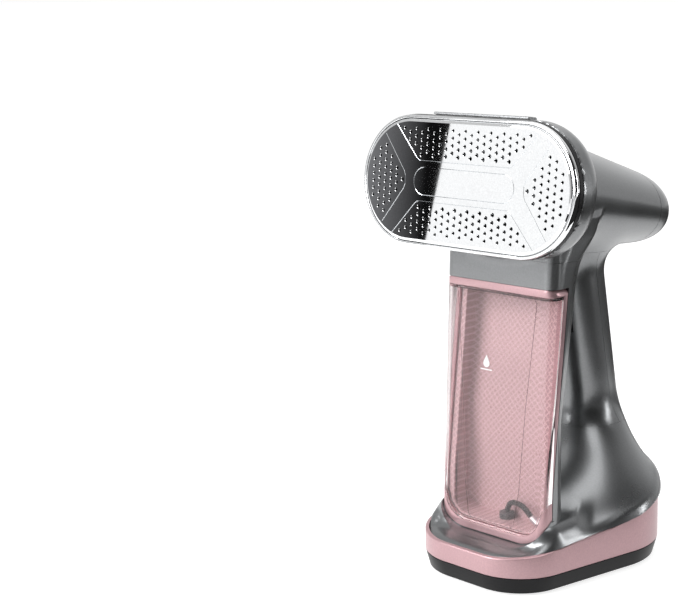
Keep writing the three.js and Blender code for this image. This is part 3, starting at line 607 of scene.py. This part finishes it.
def lattice_finish():
    """Rose plastic with a fine moulded lattice of diamonds."""
    made = finish_of("rose lattice", (0.70, 0.50, 0.52), 0.4, 0.1, mottling=0.03)
    tree, shader = nodes_of(made)
    place = add_node(tree, "ShaderNodeTexCoord").outputs["Object"]
    diagonal, fine = (0, math.radians(45), 0), (1 / MM,) * 3
    tilted = add_node(tree, "ShaderNodeMapping", {0: place, 2: diagonal, 3: fine})
    split_up = add_node(tree, "ShaderNodeSeparateXYZ", {0: tilted.outputs[0]})
    waves = []
    for axis in (0, 2):
        wave = add_node(tree, "ShaderNodeMath", {0: split_up.outputs[axis]}, operation="SINE").outputs[0]
        waves.append(add_node(tree, "ShaderNodeMath", {0: wave}, operation="ABSOLUTE").outputs[0])
    ridges = add_node(tree, "ShaderNodeMath", {0: waves[0], 1: waves[1]}, operation="MINIMUM").outputs[0]
    old = shader.inputs["Base Color"].links[0].from_socket
    dark = blend(tree, spread(tree, ridges, 0.15, 0.5, 0, 0.75), old, (0.42, 0.29, 0.30, 1))
    tree.links.new(dark, shader.inputs["Base Color"])
    return made


# ---- housing
def make_housing(finish):
    make_upper_covers(finish)
    make_column(finish)
    make_handle_and_shelf(finish)


def neck_seam():
    """The normal of the leaning plane where the column and the handle meet the barrel."""
    return Vector((0, NECK_SLOPE, 1)).normalized()


def scrap(*pieces):
    for piece in pieces:
        bpy.data.objects.remove(piece)


def make_upper_covers(finish):
    """The head's collar, the barrel and its rear cap."""
    upper = field_object("upper", upper_field, (-92, -80, 194), (92, 112, 302), STEP)
    top = split(upper, (0, 0, NECK_SEAM), neck_seam(), "top")
    collar = split(top, (0, BARREL_FRONT, 0), (0, -1, 0), "collar_cover")
    behind = split(top, (0, BARREL_FRONT - 0.05, 0), (0, 1, 0), "behind")
    barrel = split(behind, (0, CAP_SEAM - 0.2, 0), (0, -1, 0), "barrel_cover")
    cap = split(behind, (0, CAP_SEAM + 0.2, 0), (0, 1, 0), "rear_end_cap")
    for piece, node in ((collar, "head_collar"), (barrel, "barrel_shell")):
        walled(piece, WALL)
        dress(piece, finish["graphite"], "housing", "graphite", node)
    walled(cap, WALL)
    button_z = node_centre("power_button")[2]
    cut_by(cap, rod("hole", (0, 90, button_z), (0, 120, button_z), 8.3, 48))
    sharpen(cap)
    dress(cap, finish["graphite"], "housing", "graphite", "rear_cap")
    scrap(upper, top, behind)


def make_column(finish):
    column = field_object("column", column_piece_field, (-54, -60, 18), (54, 62, 216), STEP)
    cut_by(column, tank_room())
    cover = split(column, (0, 0, NECK_SEAM - 0.15), -neck_seam(), "column_cover")
    walled(cover, COLUMN_WALL)
    plug_y = node_centre("fill_plug")[1]
    cut_by(cover, rod("plug_window", (0, plug_y, TANK_HIGH - 2), (0, plug_y, TANK_HIGH + 9), 8.2, 40))
    sharpen(cover)
    dress(cover, finish["graphite"], "housing", "graphite", "column_shell")
    scrap(column)


def make_handle_and_shelf(finish):
    """The handle's two covers and the shelf over the base, cut from one body."""
    grip = field_object("grip", grip_piece_field, (-70, -84, 8), (70, 94, 214), STEP)
    under_shelf = [(9, 0), (9, over_skirt(0.2)), (0.2, over_skirt(0.2)), (0.2, 0)]
    cut_by(grip, loft("under_shelf", base_rings(under_shelf), looped=True))
    path = outline_bar(0.7)
    cut_by(path, box_object("front", (-60, -95, 0), (60, -33, 210)), "INTERSECT")
    cut_by(grip, path)
    make_grip_cuts(grip)
    grip_all = split(grip, (0, 0, NECK_SEAM - 0.15), -neck_seam(), "grip_all")
    foot = split(grip_all, (0, 0, FOOT_SEAM), (0, 0, -1), "foot")
    base = split(foot, (0, 0, BASE_OPEN), (0, 0, 1), "base_cover")
    handle = split(grip_all, (0, 0, FOOT_SEAM + SEAM), (0, 0, 1), "handle")
    lean = Vector((0, 1, GRIP_LEAN)).normalized()
    middle = Vector((0, grip_centre(150), 150))
    front = split(handle, middle - lean * SEAM, -lean, "handle_front")
    rear = split(handle, middle + lean * SEAM, lean, "handle_rear")
    for piece, node in ((front, "handle_front_cover"), (rear, "handle_rear_shell"), (base, "base_shell")):
        walled(piece, HANDLE_WALL)
        dress(piece, finish["graphite"], "housing", "graphite", node)
    scrap(grip, grip_all, foot, handle)


def node_centre(name):
    low, high = node_box(name)
    return (low + high) / 2


def tank_outline(grow, steps=10):
    """The front view of the tank, as (x, z): large bottom corners and small top ones."""
    half, bottom, top = COLUMN_HALF + 0.4 + grow, TANK_LOW - grow, TANK_HIGH + grow
    low, high = TANK_CORNER + grow, max(TANK_TOP_CORNER + grow, 0.5)
    corners = ((half - low, bottom + low, low, steps), (half - high, top - high, high, 4),
               (high - half, top - high, high, 4), (low - half, bottom + low, low, steps))
    return [point for i, (x, z, radius, count) in enumerate(corners)
            for point in arc((x, z), radius, 90 * i - 90, 90 * i, count)]


def window_outline(shrink):
    """The tank's window seen from the front: it runs on round the column's corners."""
    low, top, side = TANK_CORNER - shrink, TANK_HIGH - shrink, COLUMN_HALF + 3
    right = arc((22.5, TANK_LOW + TANK_CORNER), low, -90, -12, 10) + [(side, TANK_LOW + 36), (side, top)]
    return right + [(-x, z) for x, z in right[::-1]]


def window_bar(shrink):
    return prism("bar", window_outline(shrink), lambda a, b, t: (a, t, b), -90, 10)


def outline_bar(grow):
    return prism("bar", tank_outline(grow), lambda a, b, t: (a, t, b), -90, 10)


def face_rear(z):
    return np.interp(z, *zip(*TANK_REAR))


def face_block(inset, bar, rear_shift=0.0, name="face"):
    """The face of the tank: the front of the column, back to the tank's side edge, inside its outline."""
    rings = []
    for z in (TANK_LOW - 3, 62, 105, 150, TANK_HIGH + 3):
        radius, half = max(COLUMN_CORNER - inset, 1.0), COLUMN_HALF - inset
        front, rear = column_front(z) + inset, face_rear(z) + rear_shift
        right = arc((half - radius, front + radius), radius, -90, 0, 8) + [(half, rear)]
        outline = right + [(-x, y) for x, y in right[::-1]]
        rings.append([(x, y, z) for x, y in outline])
    block = loft(name, rings)
    cut_by(block, bar, "INTERSECT")
    return block


def belly_block(inset, bar, name="belly", passage=False):
    """The tank's rear part; with `passage`, its front end is open to the front at full width."""
    rings = []
    for z in (TANK_LOW - 3, 105, TANK_HIGH + 3):
        half = BELLY_HALF - inset
        rear = float(np.interp(z, *zip(*COLUMN_REAR))) + COLUMN_BULGE - 4.8 - inset
        front = column_front(z) + 6
        depth = (rear - front) / 2
        turn = np.linspace(0, 2 * math.pi, 64, endpoint=False)
        size = (np.abs(np.cos(turn)) ** 6 + np.abs(np.sin(turn)) ** 6) ** (-1 / 6)
        x, y = half * np.cos(turn) * size, depth * np.sin(turn) * size
        if passage:
            y = np.where(y < 0, y - 12, y)
            x = np.where(y < 0, np.sign(x) * np.maximum(np.abs(x), half * (np.abs(x) > half * 0.6)), x)
        rings.append(np.stack([x, front + depth + y, np.full(64, z)], 1))
    block = loft(name, rings)
    cut_by(block, bar, "INTERSECT")
    return block


def tank_room():
    room = face_block(-3, window_bar(-TANK_GAP), TANK_GAP, "room")
    cut_by(room, belly_block(-TANK_GAP, outline_bar(TANK_GAP), passage=True), "UNION")
    return room


def gland_hole(radius):
    z = node_centre("cord_gland")[2]
    return rod("gland_hole", (0, 62, z), (0, 95, z), radius, 48)


def make_grip_cuts(grip):
    """Room for the column, the gland, the trigger and the lock slider."""
    gap = [[(x, y, z) for x, y in column_plan(z, -WALL)] for z in (0, 60, 105, 150)]
    cut_by(grip, loft("column_gap", gap))
    cut_by(grip, gland_hole(9.4))
    low, high = node_box("steam_trigger")
    slot_low, slot_high = (low[0] - 0.4, low[1] - 6, low[2] - 1), (high[0] + 0.4, high[1] - 3, high[2] + 1)
    cut_by(grip, box_object("slot", slot_low, slot_high))
    low, high = node_box("lock_slider")
    cut_by(grip, box_object("slot", (-4, low[1] + 0.5, low[2] - 1), (4, high[1] + 10, high[2] + 6)))


def column_plan(z, grow):
    """The column's plan at a height: rounded front corners and a swelling back."""
    half, front, rear = COLUMN_HALF + grow, column_front(z) - grow, float(column_rear(np.array(z))) + grow
    right = arc((half - COLUMN_CORNER, front + COLUMN_CORNER), COLUMN_CORNER, -90, 0, 8)
    turn = np.linspace(0, math.pi / 2, 12)
    back = [(42.5 * math.cos(t) ** 0.77 + grow, rear + COLUMN_BULGE * math.sin(t) ** 0.77) for t in turn]
    right += [(half, rear - 1)] + back[1:-1]
    return right + [(0, rear + COLUMN_BULGE)] + [(-x, y) for x, y in right[::-1]]


# ---- base
def turned(name, profile, z, sides, looped=False):
    """A body turned about an axis along y, from (radius, y) pairs."""
    turn = np.linspace(0, 2 * math.pi, sides, endpoint=False)
    rings = [[(r * math.cos(t), y, z + r * math.sin(t)) for t in turn] for r, y in profile]
    return loft(name, rings, looped=looped)


def base_outline(grow, count=36):
    """The base's outline as arcs and straight sides, from the middle of the front round to the left."""
    front = (*BASE_FRONT[:2], BASE_FRONT[2] + grow)
    rear = (*BASE_REAR[:2], BASE_REAR[2] + grow)
    dx, dy = rear[0] - front[0], rear[1] - front[1]
    narrowing = math.degrees(math.asin((front[2] - rear[2]) / math.hypot(dx, dy)))
    lean = math.degrees(math.atan2(dy, dx)) - 90 + narrowing
    right = arc(front[:2], front[2], -90, lean, count) + arc(rear[:2], rear[2], lean, 90, count)
    start, end = right[count], right[count + 1]
    side = [(start[0] + (end[0] - start[0]) * t, start[1] + (end[1] - start[1]) * t)
            for t in np.linspace(0, 1, 9)[1:-1]]
    right = right[:count + 1] + side + right[count + 1:]
    return right + [(-x, y) for x, y in right[::-1]]


def base_rings(profile):
    """Rings round the base from (grow, height) pairs; a height may be a function of y."""
    return [[(x, y, height(y) if callable(height) else height) for x, y in base_outline(grow)]
            for grow, height in profile]


def over_skirt(lift):
    return lambda y: float(skirt_top(y)) + lift


def make_base(finish):
    band = loft("base_band", base_rings([
        (-2.4, 1.6), (-0.5, 1.5), (0.1, 2.0), (0.9, 5.0), (2.6, 11.2), (2.6, 11.9), (2.2, 12.1), (-1, 12.1),
    ]), looped=True)
    dress(band, finish["black"], "housing", "black", "base_plate")
    skirt = loft("rose_skirt", base_rings([
        (0.5, 12.35), (2.6, 12.35), (2.9, 12.7), (2.9, over_skirt(-1.1)), (2.75, over_skirt(-0.45)),
        (2.3, over_skirt(-0.08)), (1.9, over_skirt(0)), (0.5, over_skirt(0)),
    ]), looped=True)
    cut_by(skirt, gland_hole(7.9))
    sharpen(skirt)
    dress(skirt, finish["rose"], "housing", "rose", "base_skirt")
    make_gland(finish)


def make_gland(finish):
    """The cord gland, turned about the axis of its hole."""
    low, high = node_box("cord_gland")
    middle, end = (low[2] + high[2]) / 2, high[1]
    profile = [(3.6, low[1]), (9.1, low[1]), (9.1, end - 6.3), (7.5, end - 6.2), (7.5, end - 3.4),
               (6.9, end - 2.8), (7.5, end - 2.2), (7.5, end - 0.6), (6.9, end), (4.4, end), (3.6, end - 0.7)]
    boot = turned("gland_boot", profile, middle, 48, looped=True)
    dress(boot, finish["rubber"], "housing", "rubber", "cord_gland")


# ---- tank
def make_tank(finish):
    frame_piece = face_block(0, outline_bar(0), name="tank_surround")
    cut_by(frame_piece, face_block(-2, window_bar(TANK_BAND), -TANK_SIDE_BAND, "window"))
    hollow = outline_bar(-TANK_BAND)
    cut_by(hollow, box_object("limit", (-41.5, -70, 0), (41.5, -10, TANK_HIGH)), "INTERSECT")
    cut_by(frame_piece, hollow)
    softened(frame_piece, 0.55)
    dress(frame_piece, finish["rose"], "tank", "rose", "tank_frame")

    glass = face_block(0.05, window_bar(TANK_BAND + TANK_GAP), -TANK_SIDE_BAND - TANK_GAP, "tank_window")
    cut_by(glass, face_block(TANK_WALL, window_bar(TANK_BAND + TANK_GAP + TANK_WALL), 6.0, "room"))
    glass.visible_shadow = False
    cut_by(glass, panel_groove())
    sharpen(glass)
    dress(glass, finish["smoked"], "tank", "smoked", "tank_shell")

    make_tank_back(finish)
    make_fill_mark(finish)


def tank_hollow(passage=False):
    return belly_block(TANK_WALL, outline_bar(-TANK_BAND - TANK_GAP - TANK_WALL), passage=passage)


def make_tank_back(finish):
    """The rear part of the tank, open towards the window and with a wall out to the tank's sides."""
    back = belly_block(0, outline_bar(-TANK_BAND - TANK_GAP), "tank_belly")
    cut_by(back, tank_hollow())
    cut_by(back, in_front_of(lambda z: face_rear(z) - 1.2))
    cut_by(back, back_panel(), "UNION")
    opening = tank_hollow(passage=True)
    cut_by(opening, in_front_of(lambda z: column_front(z) + 9), "INTERSECT")
    cut_by(back, opening)
    sharpen(back)
    dress(back, finish["lattice"], "tank", "rose", "tank_back")


def in_front_of(edge_at):
    """A block that fills the space in front of a surface whose y is given by height."""
    rings = []
    for z in (0, 20, 62, 184, 220):
        edge = float(edge_at(z))
        rings.append([(-60, edge - 60, z), (60, edge - 60, z), (60, edge, z), (-60, edge, z)])
    return loft("front_space", rings)


def back_panel():
    """The wall behind the window's corners, from the belly out to the tank's sides."""
    panel = face_block(0.8, outline_bar(-TANK_BAND - TANK_GAP), -TANK_GAP, "panel")
    cut_by(panel, in_front_of(lambda z: face_rear(z) - 1.8))
    cut_by(panel, tank_hollow(passage=True))
    return panel


def panel_groove():
    """The fine groove that outlines the flat front panel of the tank's window."""
    outline = [(-30, 184), (30.5, 184.5), (32.3, 183), (29.3, 150), (25.9, 115), (22.5, 60), (19, 37),
               (16, 34.5), (-16, 34.5), (-19, 37), (-22.5, 60), (-25.9, 115), (-29.3, 150), (-32.3, 183)]
    inner = [(x * 0.986, 110 + (z - 110) * 0.9945) for x, z in outline]
    rings = []
    for line, out in ((outline, -1.0), (outline, 0.35), (inner, 0.35), (inner, -1.0)):
        rings.append([(x, float(column_front(z)) + out, z) for x, z in line])
    return loft("groove", rings, looped=True)


def make_fill_mark(finish):
    """A plain drop over a level line, printed on the tank's front."""
    drop = [(0, 7)] + arc((0, 0), 3.2, 25, -205, 14)
    level = [(-6, -5.4), (6, -5.4), (6, -4.5), (-6, -4.5)]
    middle_x, middle_z, scale = -7, 139.0, 0.8

    def place(a, b, out):
        z = middle_z + b * scale
        return a * scale + middle_x, float(column_front(z)) + out, z

    bars = [prism(name, outline, place, -0.06, -0.01) for name, outline in (("drop", drop), ("level", level))]
    mark = joined("fill_mark", bars)
    dress(mark, finish["mark"], "tank", "smoked")


# ---- steam head
def in_head(x, depth, v):
    c, s = math.cos(HEAD_TILT), math.sin(HEAD_TILT)
    return (x, HEAD_Y + depth * c + v * s, HEAD_Z - depth * s + v * c)


def head_outline(grow, straight=HEAD_STRAIGHT, radius=HEAD_RADIUS, steps=40):
    right = arc((straight, 0), radius + grow, -90, 90, steps)
    return right + [(-x, -v) for x, v in right]


def head_rings(profile, steps=40):
    return [[in_head(x, depth, v) for x, v in head_outline(grow, steps=steps)] for grow, depth in profile]


def in_zone(x, v, margin=0.0):
    """Whether a point lies in one of the four perforated zones, `margin` inside its edge."""
    rim = math.hypot(max(abs(x) - HEAD_STRAIGHT, 0), v) < HEAD_RADIUS - 6.2 - margin
    above = abs(v) > 13.5 + margin and abs(x) < 38 + (abs(v) - 13.5) * 0.9 - margin * 1.3
    beside = abs(x) > 47.5 + abs(v) * 0.62 + margin * 1.2
    return rim and (above or beside)


def make_plate(finish):
    profile = [(-2.6, 2), (-2.6, -0.5), (-3.0, -1.0), (-3.7, -1.4), (-4.6, -1.6)]
    plate = loft("steam_face", head_rings(profile, 56))
    cut_by(plate, joined("holes", steam_holes()))
    for line in plate_grooves():
        cut_by(plate, groove_strip(line, GROOVE_HALF))
    badge = [head_outline(grow, BADGE_HALF, BADGE_RADIUS, 20) for grow in (GROOVE_HALF, 0, -GROOVE_HALF)]
    cut_by(plate, groove_ring(*badge))
    sharpen(plate, 8)
    dress(plate, finish["chrome"], "housing", "chrome", "steam_plate")


def steam_holes():
    """Cutters for the holes of the four zones, which get smaller away from the badge."""
    holes = []
    turn = np.linspace(0, 2 * math.pi, 14, endpoint=False)
    for column in range(-16, 17):
        x = column * 5.0
        for row in range(-9, 10):
            v = row * 4.6 + (2.3 if column % 2 else 0)
            if not in_zone(x, v, 2.0):
                continue
            near = math.hypot(max(abs(x) - BADGE_HALF, 0), v) - BADGE_RADIUS
            radius = float(np.interp(near, [4, 22], [1.15, 0.8]))
            rings = []
            for grow, depth in ((0.45, PLATE_LEVEL), (0.3, -1.6), (0.0, -1.2), (0.0, 3.0)):
                r = radius + grow
                rings.append([in_head(x + r * math.cos(t), depth, v + r * math.sin(t)) for t in turn])
            holes.append(loft("hole", rings))
    return holes


def plate_grooves():
    """Lines of (x, v) on the plate: the inner edges of the four perforated zones."""
    lines = []
    for side in (1, -1):
        lines.append([(57, side * 34.5), (38.5, side * 14.2), (36, side * 12.6), (-36, side * 12.6),
                      (-38.5, side * 14.2), (-57, side * 34.5)])
        lines.append([(side * 66, 28.0), (side * 48.6, 5.5), (side * 47.4, 2.5), (side * 47.4, -2.5),
                      (side * 48.6, -5.5), (side * 66, -28.0)])
    return lines


def groove_strip(line, half_width):
    """A thin wall along an open line, standing through the plate's face."""
    points = [Vector(p) for p in line]
    rings = []
    for depth, half in ((PLATE_LEVEL, half_width), (GROOVE_FLOOR, half_width * 0.05)):
        left, right = [], []
        for i, p in enumerate(points):
            before, after = points[max(i - 1, 0)], points[min(i + 1, len(points) - 1)]
            across = (after - before).normalized().orthogonal() * half
            left.append(p + across)
            right.append(p - across)
        rings.append([in_head(p.x, depth, p.y) for p in left + right[::-1]])
    return loft("groove", rings)


def groove_ring(outer, middle, inner):
    rings = ((outer, PLATE_LEVEL), (middle, GROOVE_FLOOR), (inner, PLATE_LEVEL))
    return loft("groove", [[in_head(x, depth, v) for x, v in ring] for ring, depth in rings], looped=True)


def make_head(finish):
    make_plate(finish)
    rim = [(-2.3, 2), (-2.3, -0.7), (-2.1, -1.05), (-1.5, -1.2), (-0.9, -1.0), (-0.45, -0.5), (-0.3, 0.2),
           (-0.3, 2)]
    bezel = loft("bezel_ring", head_rings(rim), looped=True)
    dress(bezel, finish["chrome"], "housing", "chrome", "plate_bezel")
    band = [(-5, 2.3), (-0.4, 2.3), (0, 2.6), (0, 5.1), (-0.3, 5.4), (-5, 5.4)]
    ring = loft("black_ring", head_rings(band), looped=True)
    dress(ring, finish["black"], "housing", "black", "heat_ring")
    profile = [(10.5, 0.7), (12, 0.6), (17, -0.8), (18.5, -1.7), (18.5, 1.2), (18, 1.6), (17, 1.9),
               (11.2, 2.1), (10.7, 1.9), (10.5, 1.5)]

    def spot(x, k, depth, v):
        return in_head(x, 10.5 + (depth - 10.5) * k + 4 * (1 - k), HEAD_RADIUS + 0.7 + (v - 0.7) * k)

    ends = ((-38, 0.9), (-37.5, 1), (37.5, 1), (38, 0.9))
    catch = loft("pad_catch", [[spot(x, k, depth, v) for depth, v in profile] for x, k in ends])
    dress(catch, finish["graphite"], "housing", "graphite", "accessory_catch")


# ---- controls
def make_controls(finish):
    low, high = node_box("power_button")
    z = (low[2] + high[2]) / 2
    profile = [(7.6, low[1]), (8.0, low[1] + 0.4), (8.0, high[1] - 1.0), (7.7, high[1] - 0.3), (7.0, high[1]),
               (6.0, high[1] - 0.2), (3.0, high[1] - 0.45), (0.4, high[1] - 0.5)]
    button = turned("power_key", profile, z, 64)
    dress(button, finish["black"], "button", "black", "power_button")
    mark = make_power_mark(high[1] - 0.44, z)
    dress(mark, finish["mark"], "button", "smoked")

    low, high = node_box("steam_trigger")
    trigger = prism("trigger_key", trigger_profile(), lambda a, b, t: (t, a, b), low[0], high[0])
    pin = node_centre("trigger_pin")
    cut_by(trigger, rod("pin_hole", (-20, pin[1], pin[2]), (20, pin[1], pin[2]), 1.55, 24))
    softened(trigger, 1.0, 30, 3)
    dress(trigger, finish["black"], "trigger", "black", "steam_trigger")
    make_slider(finish)


def make_power_mark(y, z):
    """A plain ring with a short bar over its top."""
    profile = [(3.3, y - 0.1), (3.3, y + 0.12), (2.7, y + 0.12), (2.7, y - 0.1)]
    ring = turned("ring", profile, z, 40, looped=True)
    bar = box_object("bar", (-0.3, y - 0.1, z + 1.2), (0.3, y + 0.12, z + 4.2))
    return joined("button_mark", [ring, bar])


def trigger_profile():
    """The trigger's side view, as (y, z)."""
    def face(z):
        return float(grip_centre(z)) - GRIP_HALF_DEPTH

    top, bottom = 188.0, 150.0
    bow = [(face(z) - float(np.interp(z, [150, 154, 160, 172, 188], [1.5, 4.2, 5.4, 3.8, 1.6])), z)
           for z in np.linspace(bottom + 0.3, top, 16)]
    back = [(face(top) + 14, top), (face(178) + 14, 178), (face(174) + 6, 174), (face(bottom) + 5, bottom)]
    return back + bow


def make_slider(finish):
    low, high = node_box("lock_slider")
    mid = (low[2] + high[2]) / 2

    def surface(z):
        return float(grip_centre(z)) + GRIP_HALF_DEPTH

    def spot(x, out, z):
        return (x, surface(z) + out, z)

    z_low, z_high = mid - 6, mid + 6
    ridges = []
    for i in range(5):
        z = mid - 4 + i * 2
        ridges += [(z - 0.7, 2.0), (z - 0.25, 2.8), (z + 0.25, 2.8), (z + 0.7, 2.0)]
    outline = [(z_low, 0.4), (z_low, 1.6), (z_low + 0.4, 2.0)] + ridges
    outline += [(z_high - 0.4, 2.0), (z_high, 1.6), (z_high, 0.4)]
    cap = loft("slider", [[spot(x, out * k + (1 - k) * 0.5, z) for z, out in outline]
                          for x, k in ((-6, 0.75), (-5.5, 1), (5.5, 1), (6, 0.75))])
    section = ((mid - 4.2, -5), (mid - 4.2, 0.6), (mid + 4.2, 0.6), (mid + 4.2, -5))
    stem = loft("stem", [[spot(x, out, z) for z, out in section] for x in (-3.4, 3.4)])
    cut_by(cap, stem, "UNION")
    cap.name = "lock_slide_key"
    sharpen(cap, 25)
    dress(cap, finish["black"], "slider", "black", "lock_slider")


# ---- CAD pieces that stay
def dress_kept_nodes(finish):
    kept = {
        "rubber": ("base_sole", "pump_mount_front", "pump_mount_rear", "fill_plug", "pickup_hose",
                   "chamber_gasket", "riser_hose", "feed_hose"),
        "steel": ("ballast_weight", "base_screw_1", "base_screw_2", "base_screw_3", "base_screw_4",
                  "pickup_weight", "trigger_pin", "trigger_spring", "thermal_fuse"),
        "moulding": ("pump", "terminal_block", "tank_valve", "microswitch", "thermostat", "board_relay"),
        "aluminium": ("steam_chamber",), "board": ("circuit_board",), "copper": ("heating_element",),
        "smoked": ("indicator_ring",),
    }
    for slot, names in kept.items():
        for name in names:
            node = bpy.data.objects[name]
            node.data.materials.clear()
            node.data.materials.append(finish[slot])


# ---- stage
def stage_card(name, corners, colour, strength=1.0):
    """A glowing card that only reflections show."""
    card = mesh_object(name, corners, [(0, 1, 2, 3)], smooth=False)
    made = bpy.data.materials.new(name)
    made.use_nodes = True
    tree = made.node_tree
    tree.nodes.clear()
    glow = add_node(tree, "ShaderNodeEmission", {"Color": (*colour, 1), "Strength": strength})
    out = add_node(tree, "ShaderNodeOutputMaterial")
    tree.links.new(glow.outputs[0], out.inputs[0])
    card.data.materials.append(made)
    card.visible_camera = card.visible_shadow = card.visible_diffuse = False
    return card


def fade_card(card, dark_end, pale_end):
    """Makes a card's glow fade to nothing towards one of its ends."""
    tree = card.data.materials[0].node_tree
    glow = next(node for node in tree.nodes if node.type == "EMISSION")
    place = add_node(tree, "ShaderNodeTexCoord").outputs["Object"]
    across = add_node(tree, "ShaderNodeSeparateXYZ", {0: place}).outputs[0]
    reach = (pale_end - dark_end) * 0.35
    faded = spread(tree, across, dark_end.x * MM, (dark_end.x + reach.x) * MM, 0.02, 1.0)
    tree.links.new(faded, glow.inputs["Strength"])


def mirror_point(x, v, reach):
    """Where the camera's ray to a point of the steam plate gets to, `reach` after it is reflected."""
    spot = Vector(in_head(x, 0, v))
    normal = Vector((0, -math.cos(HEAD_TILT), math.sin(HEAD_TILT)))
    eye = SCENE.camera.matrix_world.translation / MM
    ray = (spot - eye).normalized()
    bounced = ray - 2 * ray.dot(normal) * normal
    return spot + bounced * reach


def make_stage():
    reach = 9e4
    corners = [(-reach, -reach, 0), (reach, -reach, 0), (reach, reach, 0), (-reach, reach, 0)]
    floor = mesh_object("floor", corners, [(0, 1, 2, 3)], smooth=False)
    pale = bpy.data.materials.new("floor")
    pale.use_nodes = True
    for key, value in {"Base Color": (0.5, 0.5, 0.5, 1), "Roughness": 0.6, "Specular IOR Level": 0,
                       "Emission Color": (1, 1, 1, 1), "Emission Strength": 0.8}.items():
        nodes_of(pale)[1].inputs[key].default_value = value
    floor.data.materials.append(pale)
    floor.visible_diffuse = False
    make_cards()


def make_cards():
    """A pale card that the plate mirrors, a dark one before its left end, and dark ones over the floor."""
    corners = [mirror_point(x, v, 1500) for x, v in ((-170, -160), (200, -160), (200, 160), (-170, 160))]
    stage_card("pale_card", corners, (1, 1, 1), 1.1)
    stage_card("floor_flag", [(260, -900, 1), (2600, -2600, 1), (3200, 2200, 1), (260, 900, 1)], (0.02,) * 3)
    stage_card("rear_flag", [(-2600, 900, 1), (200, 480, 1), (3200, 2200, 1), (-2600, 4200, 1)], (0.04,) * 3)
    outline = ((-230, -60), (EDGE_LOW[0] - 4.8, -60), (EDGE_TOP[0] + 4.6, 60), (-230, 60))
    dark = [mirror_point(x, v, 1300) for x, v in outline]
    card = stage_card("dark_card", dark, (0.26, 0.26, 0.27))
    fade_card(card, dark[1], dark[0])


def make_lights():
    def area(name, place, size, power, aim=(0, 0, 0.15)):
        data = bpy.data.lights.new(name, "AREA")
        data.shape, data.size, data.size_y, data.energy = "RECTANGLE", size[0], size[1], power
        lamp = bpy.data.objects.new(name, data)
        lamp.location = place
        lamp.rotation_euler = (Vector(aim) - Vector(place)).to_track_quat("-Z", "Y").to_euler()
        SCENE.collection.objects.link(lamp)

    area("key", (-0.7, -1.5, 0.9), (0.9, 1.2), 34)
    area("top", (0.1, -0.1, 1.5), (1.2, 1.2), 12)
    area("rim", (1.3, 0.9, 0.5), (0.15, 0.9), 6)
    make_world()
    SCENE.view_settings.view_transform = "Standard"


def make_world():
    """White to the camera; softer, and darker on the right, to everything else."""
    world = bpy.data.worlds.new("studio")
    SCENE.world = world
    world.use_nodes = True
    tree = world.node_tree
    tree.nodes.clear()
    seen = add_node(tree, "ShaderNodeLightPath").outputs["Is Camera Ray"]
    way = add_node(tree, "ShaderNodeTexCoord").outputs["Generated"]
    parts = add_node(tree, "ShaderNodeSeparateXYZ", {0: way}).outputs
    side = spread(tree, parts[0], -0.3, 0.6, 0.8, 0.03)
    behind = spread(tree, parts[1], 0.55, 0.95, 0.0, 0.7)
    side = add_node(tree, "ShaderNodeMath", {0: side, 1: behind}, operation="ADD").outputs[0]
    soft = add_node(tree, "ShaderNodeBackground", {1: side})
    white = add_node(tree, "ShaderNodeBackground", {0: (1, 1, 1, 1), 1: 1.0})
    mix = add_node(tree, "ShaderNodeMixShader", {0: seen, 1: soft.outputs[0], 2: white.outputs[0]})
    out = add_node(tree, "ShaderNodeOutputWorld")
    tree.links.new(mix.outputs[0], out.inputs[0])


make_camera()
finishes = make_finishes()
make_housing(finishes)
make_base(finishes)
make_tank(finishes)
make_head(finishes)
make_controls(finishes)
dress_kept_nodes(finishes)
make_stage()
make_lights()
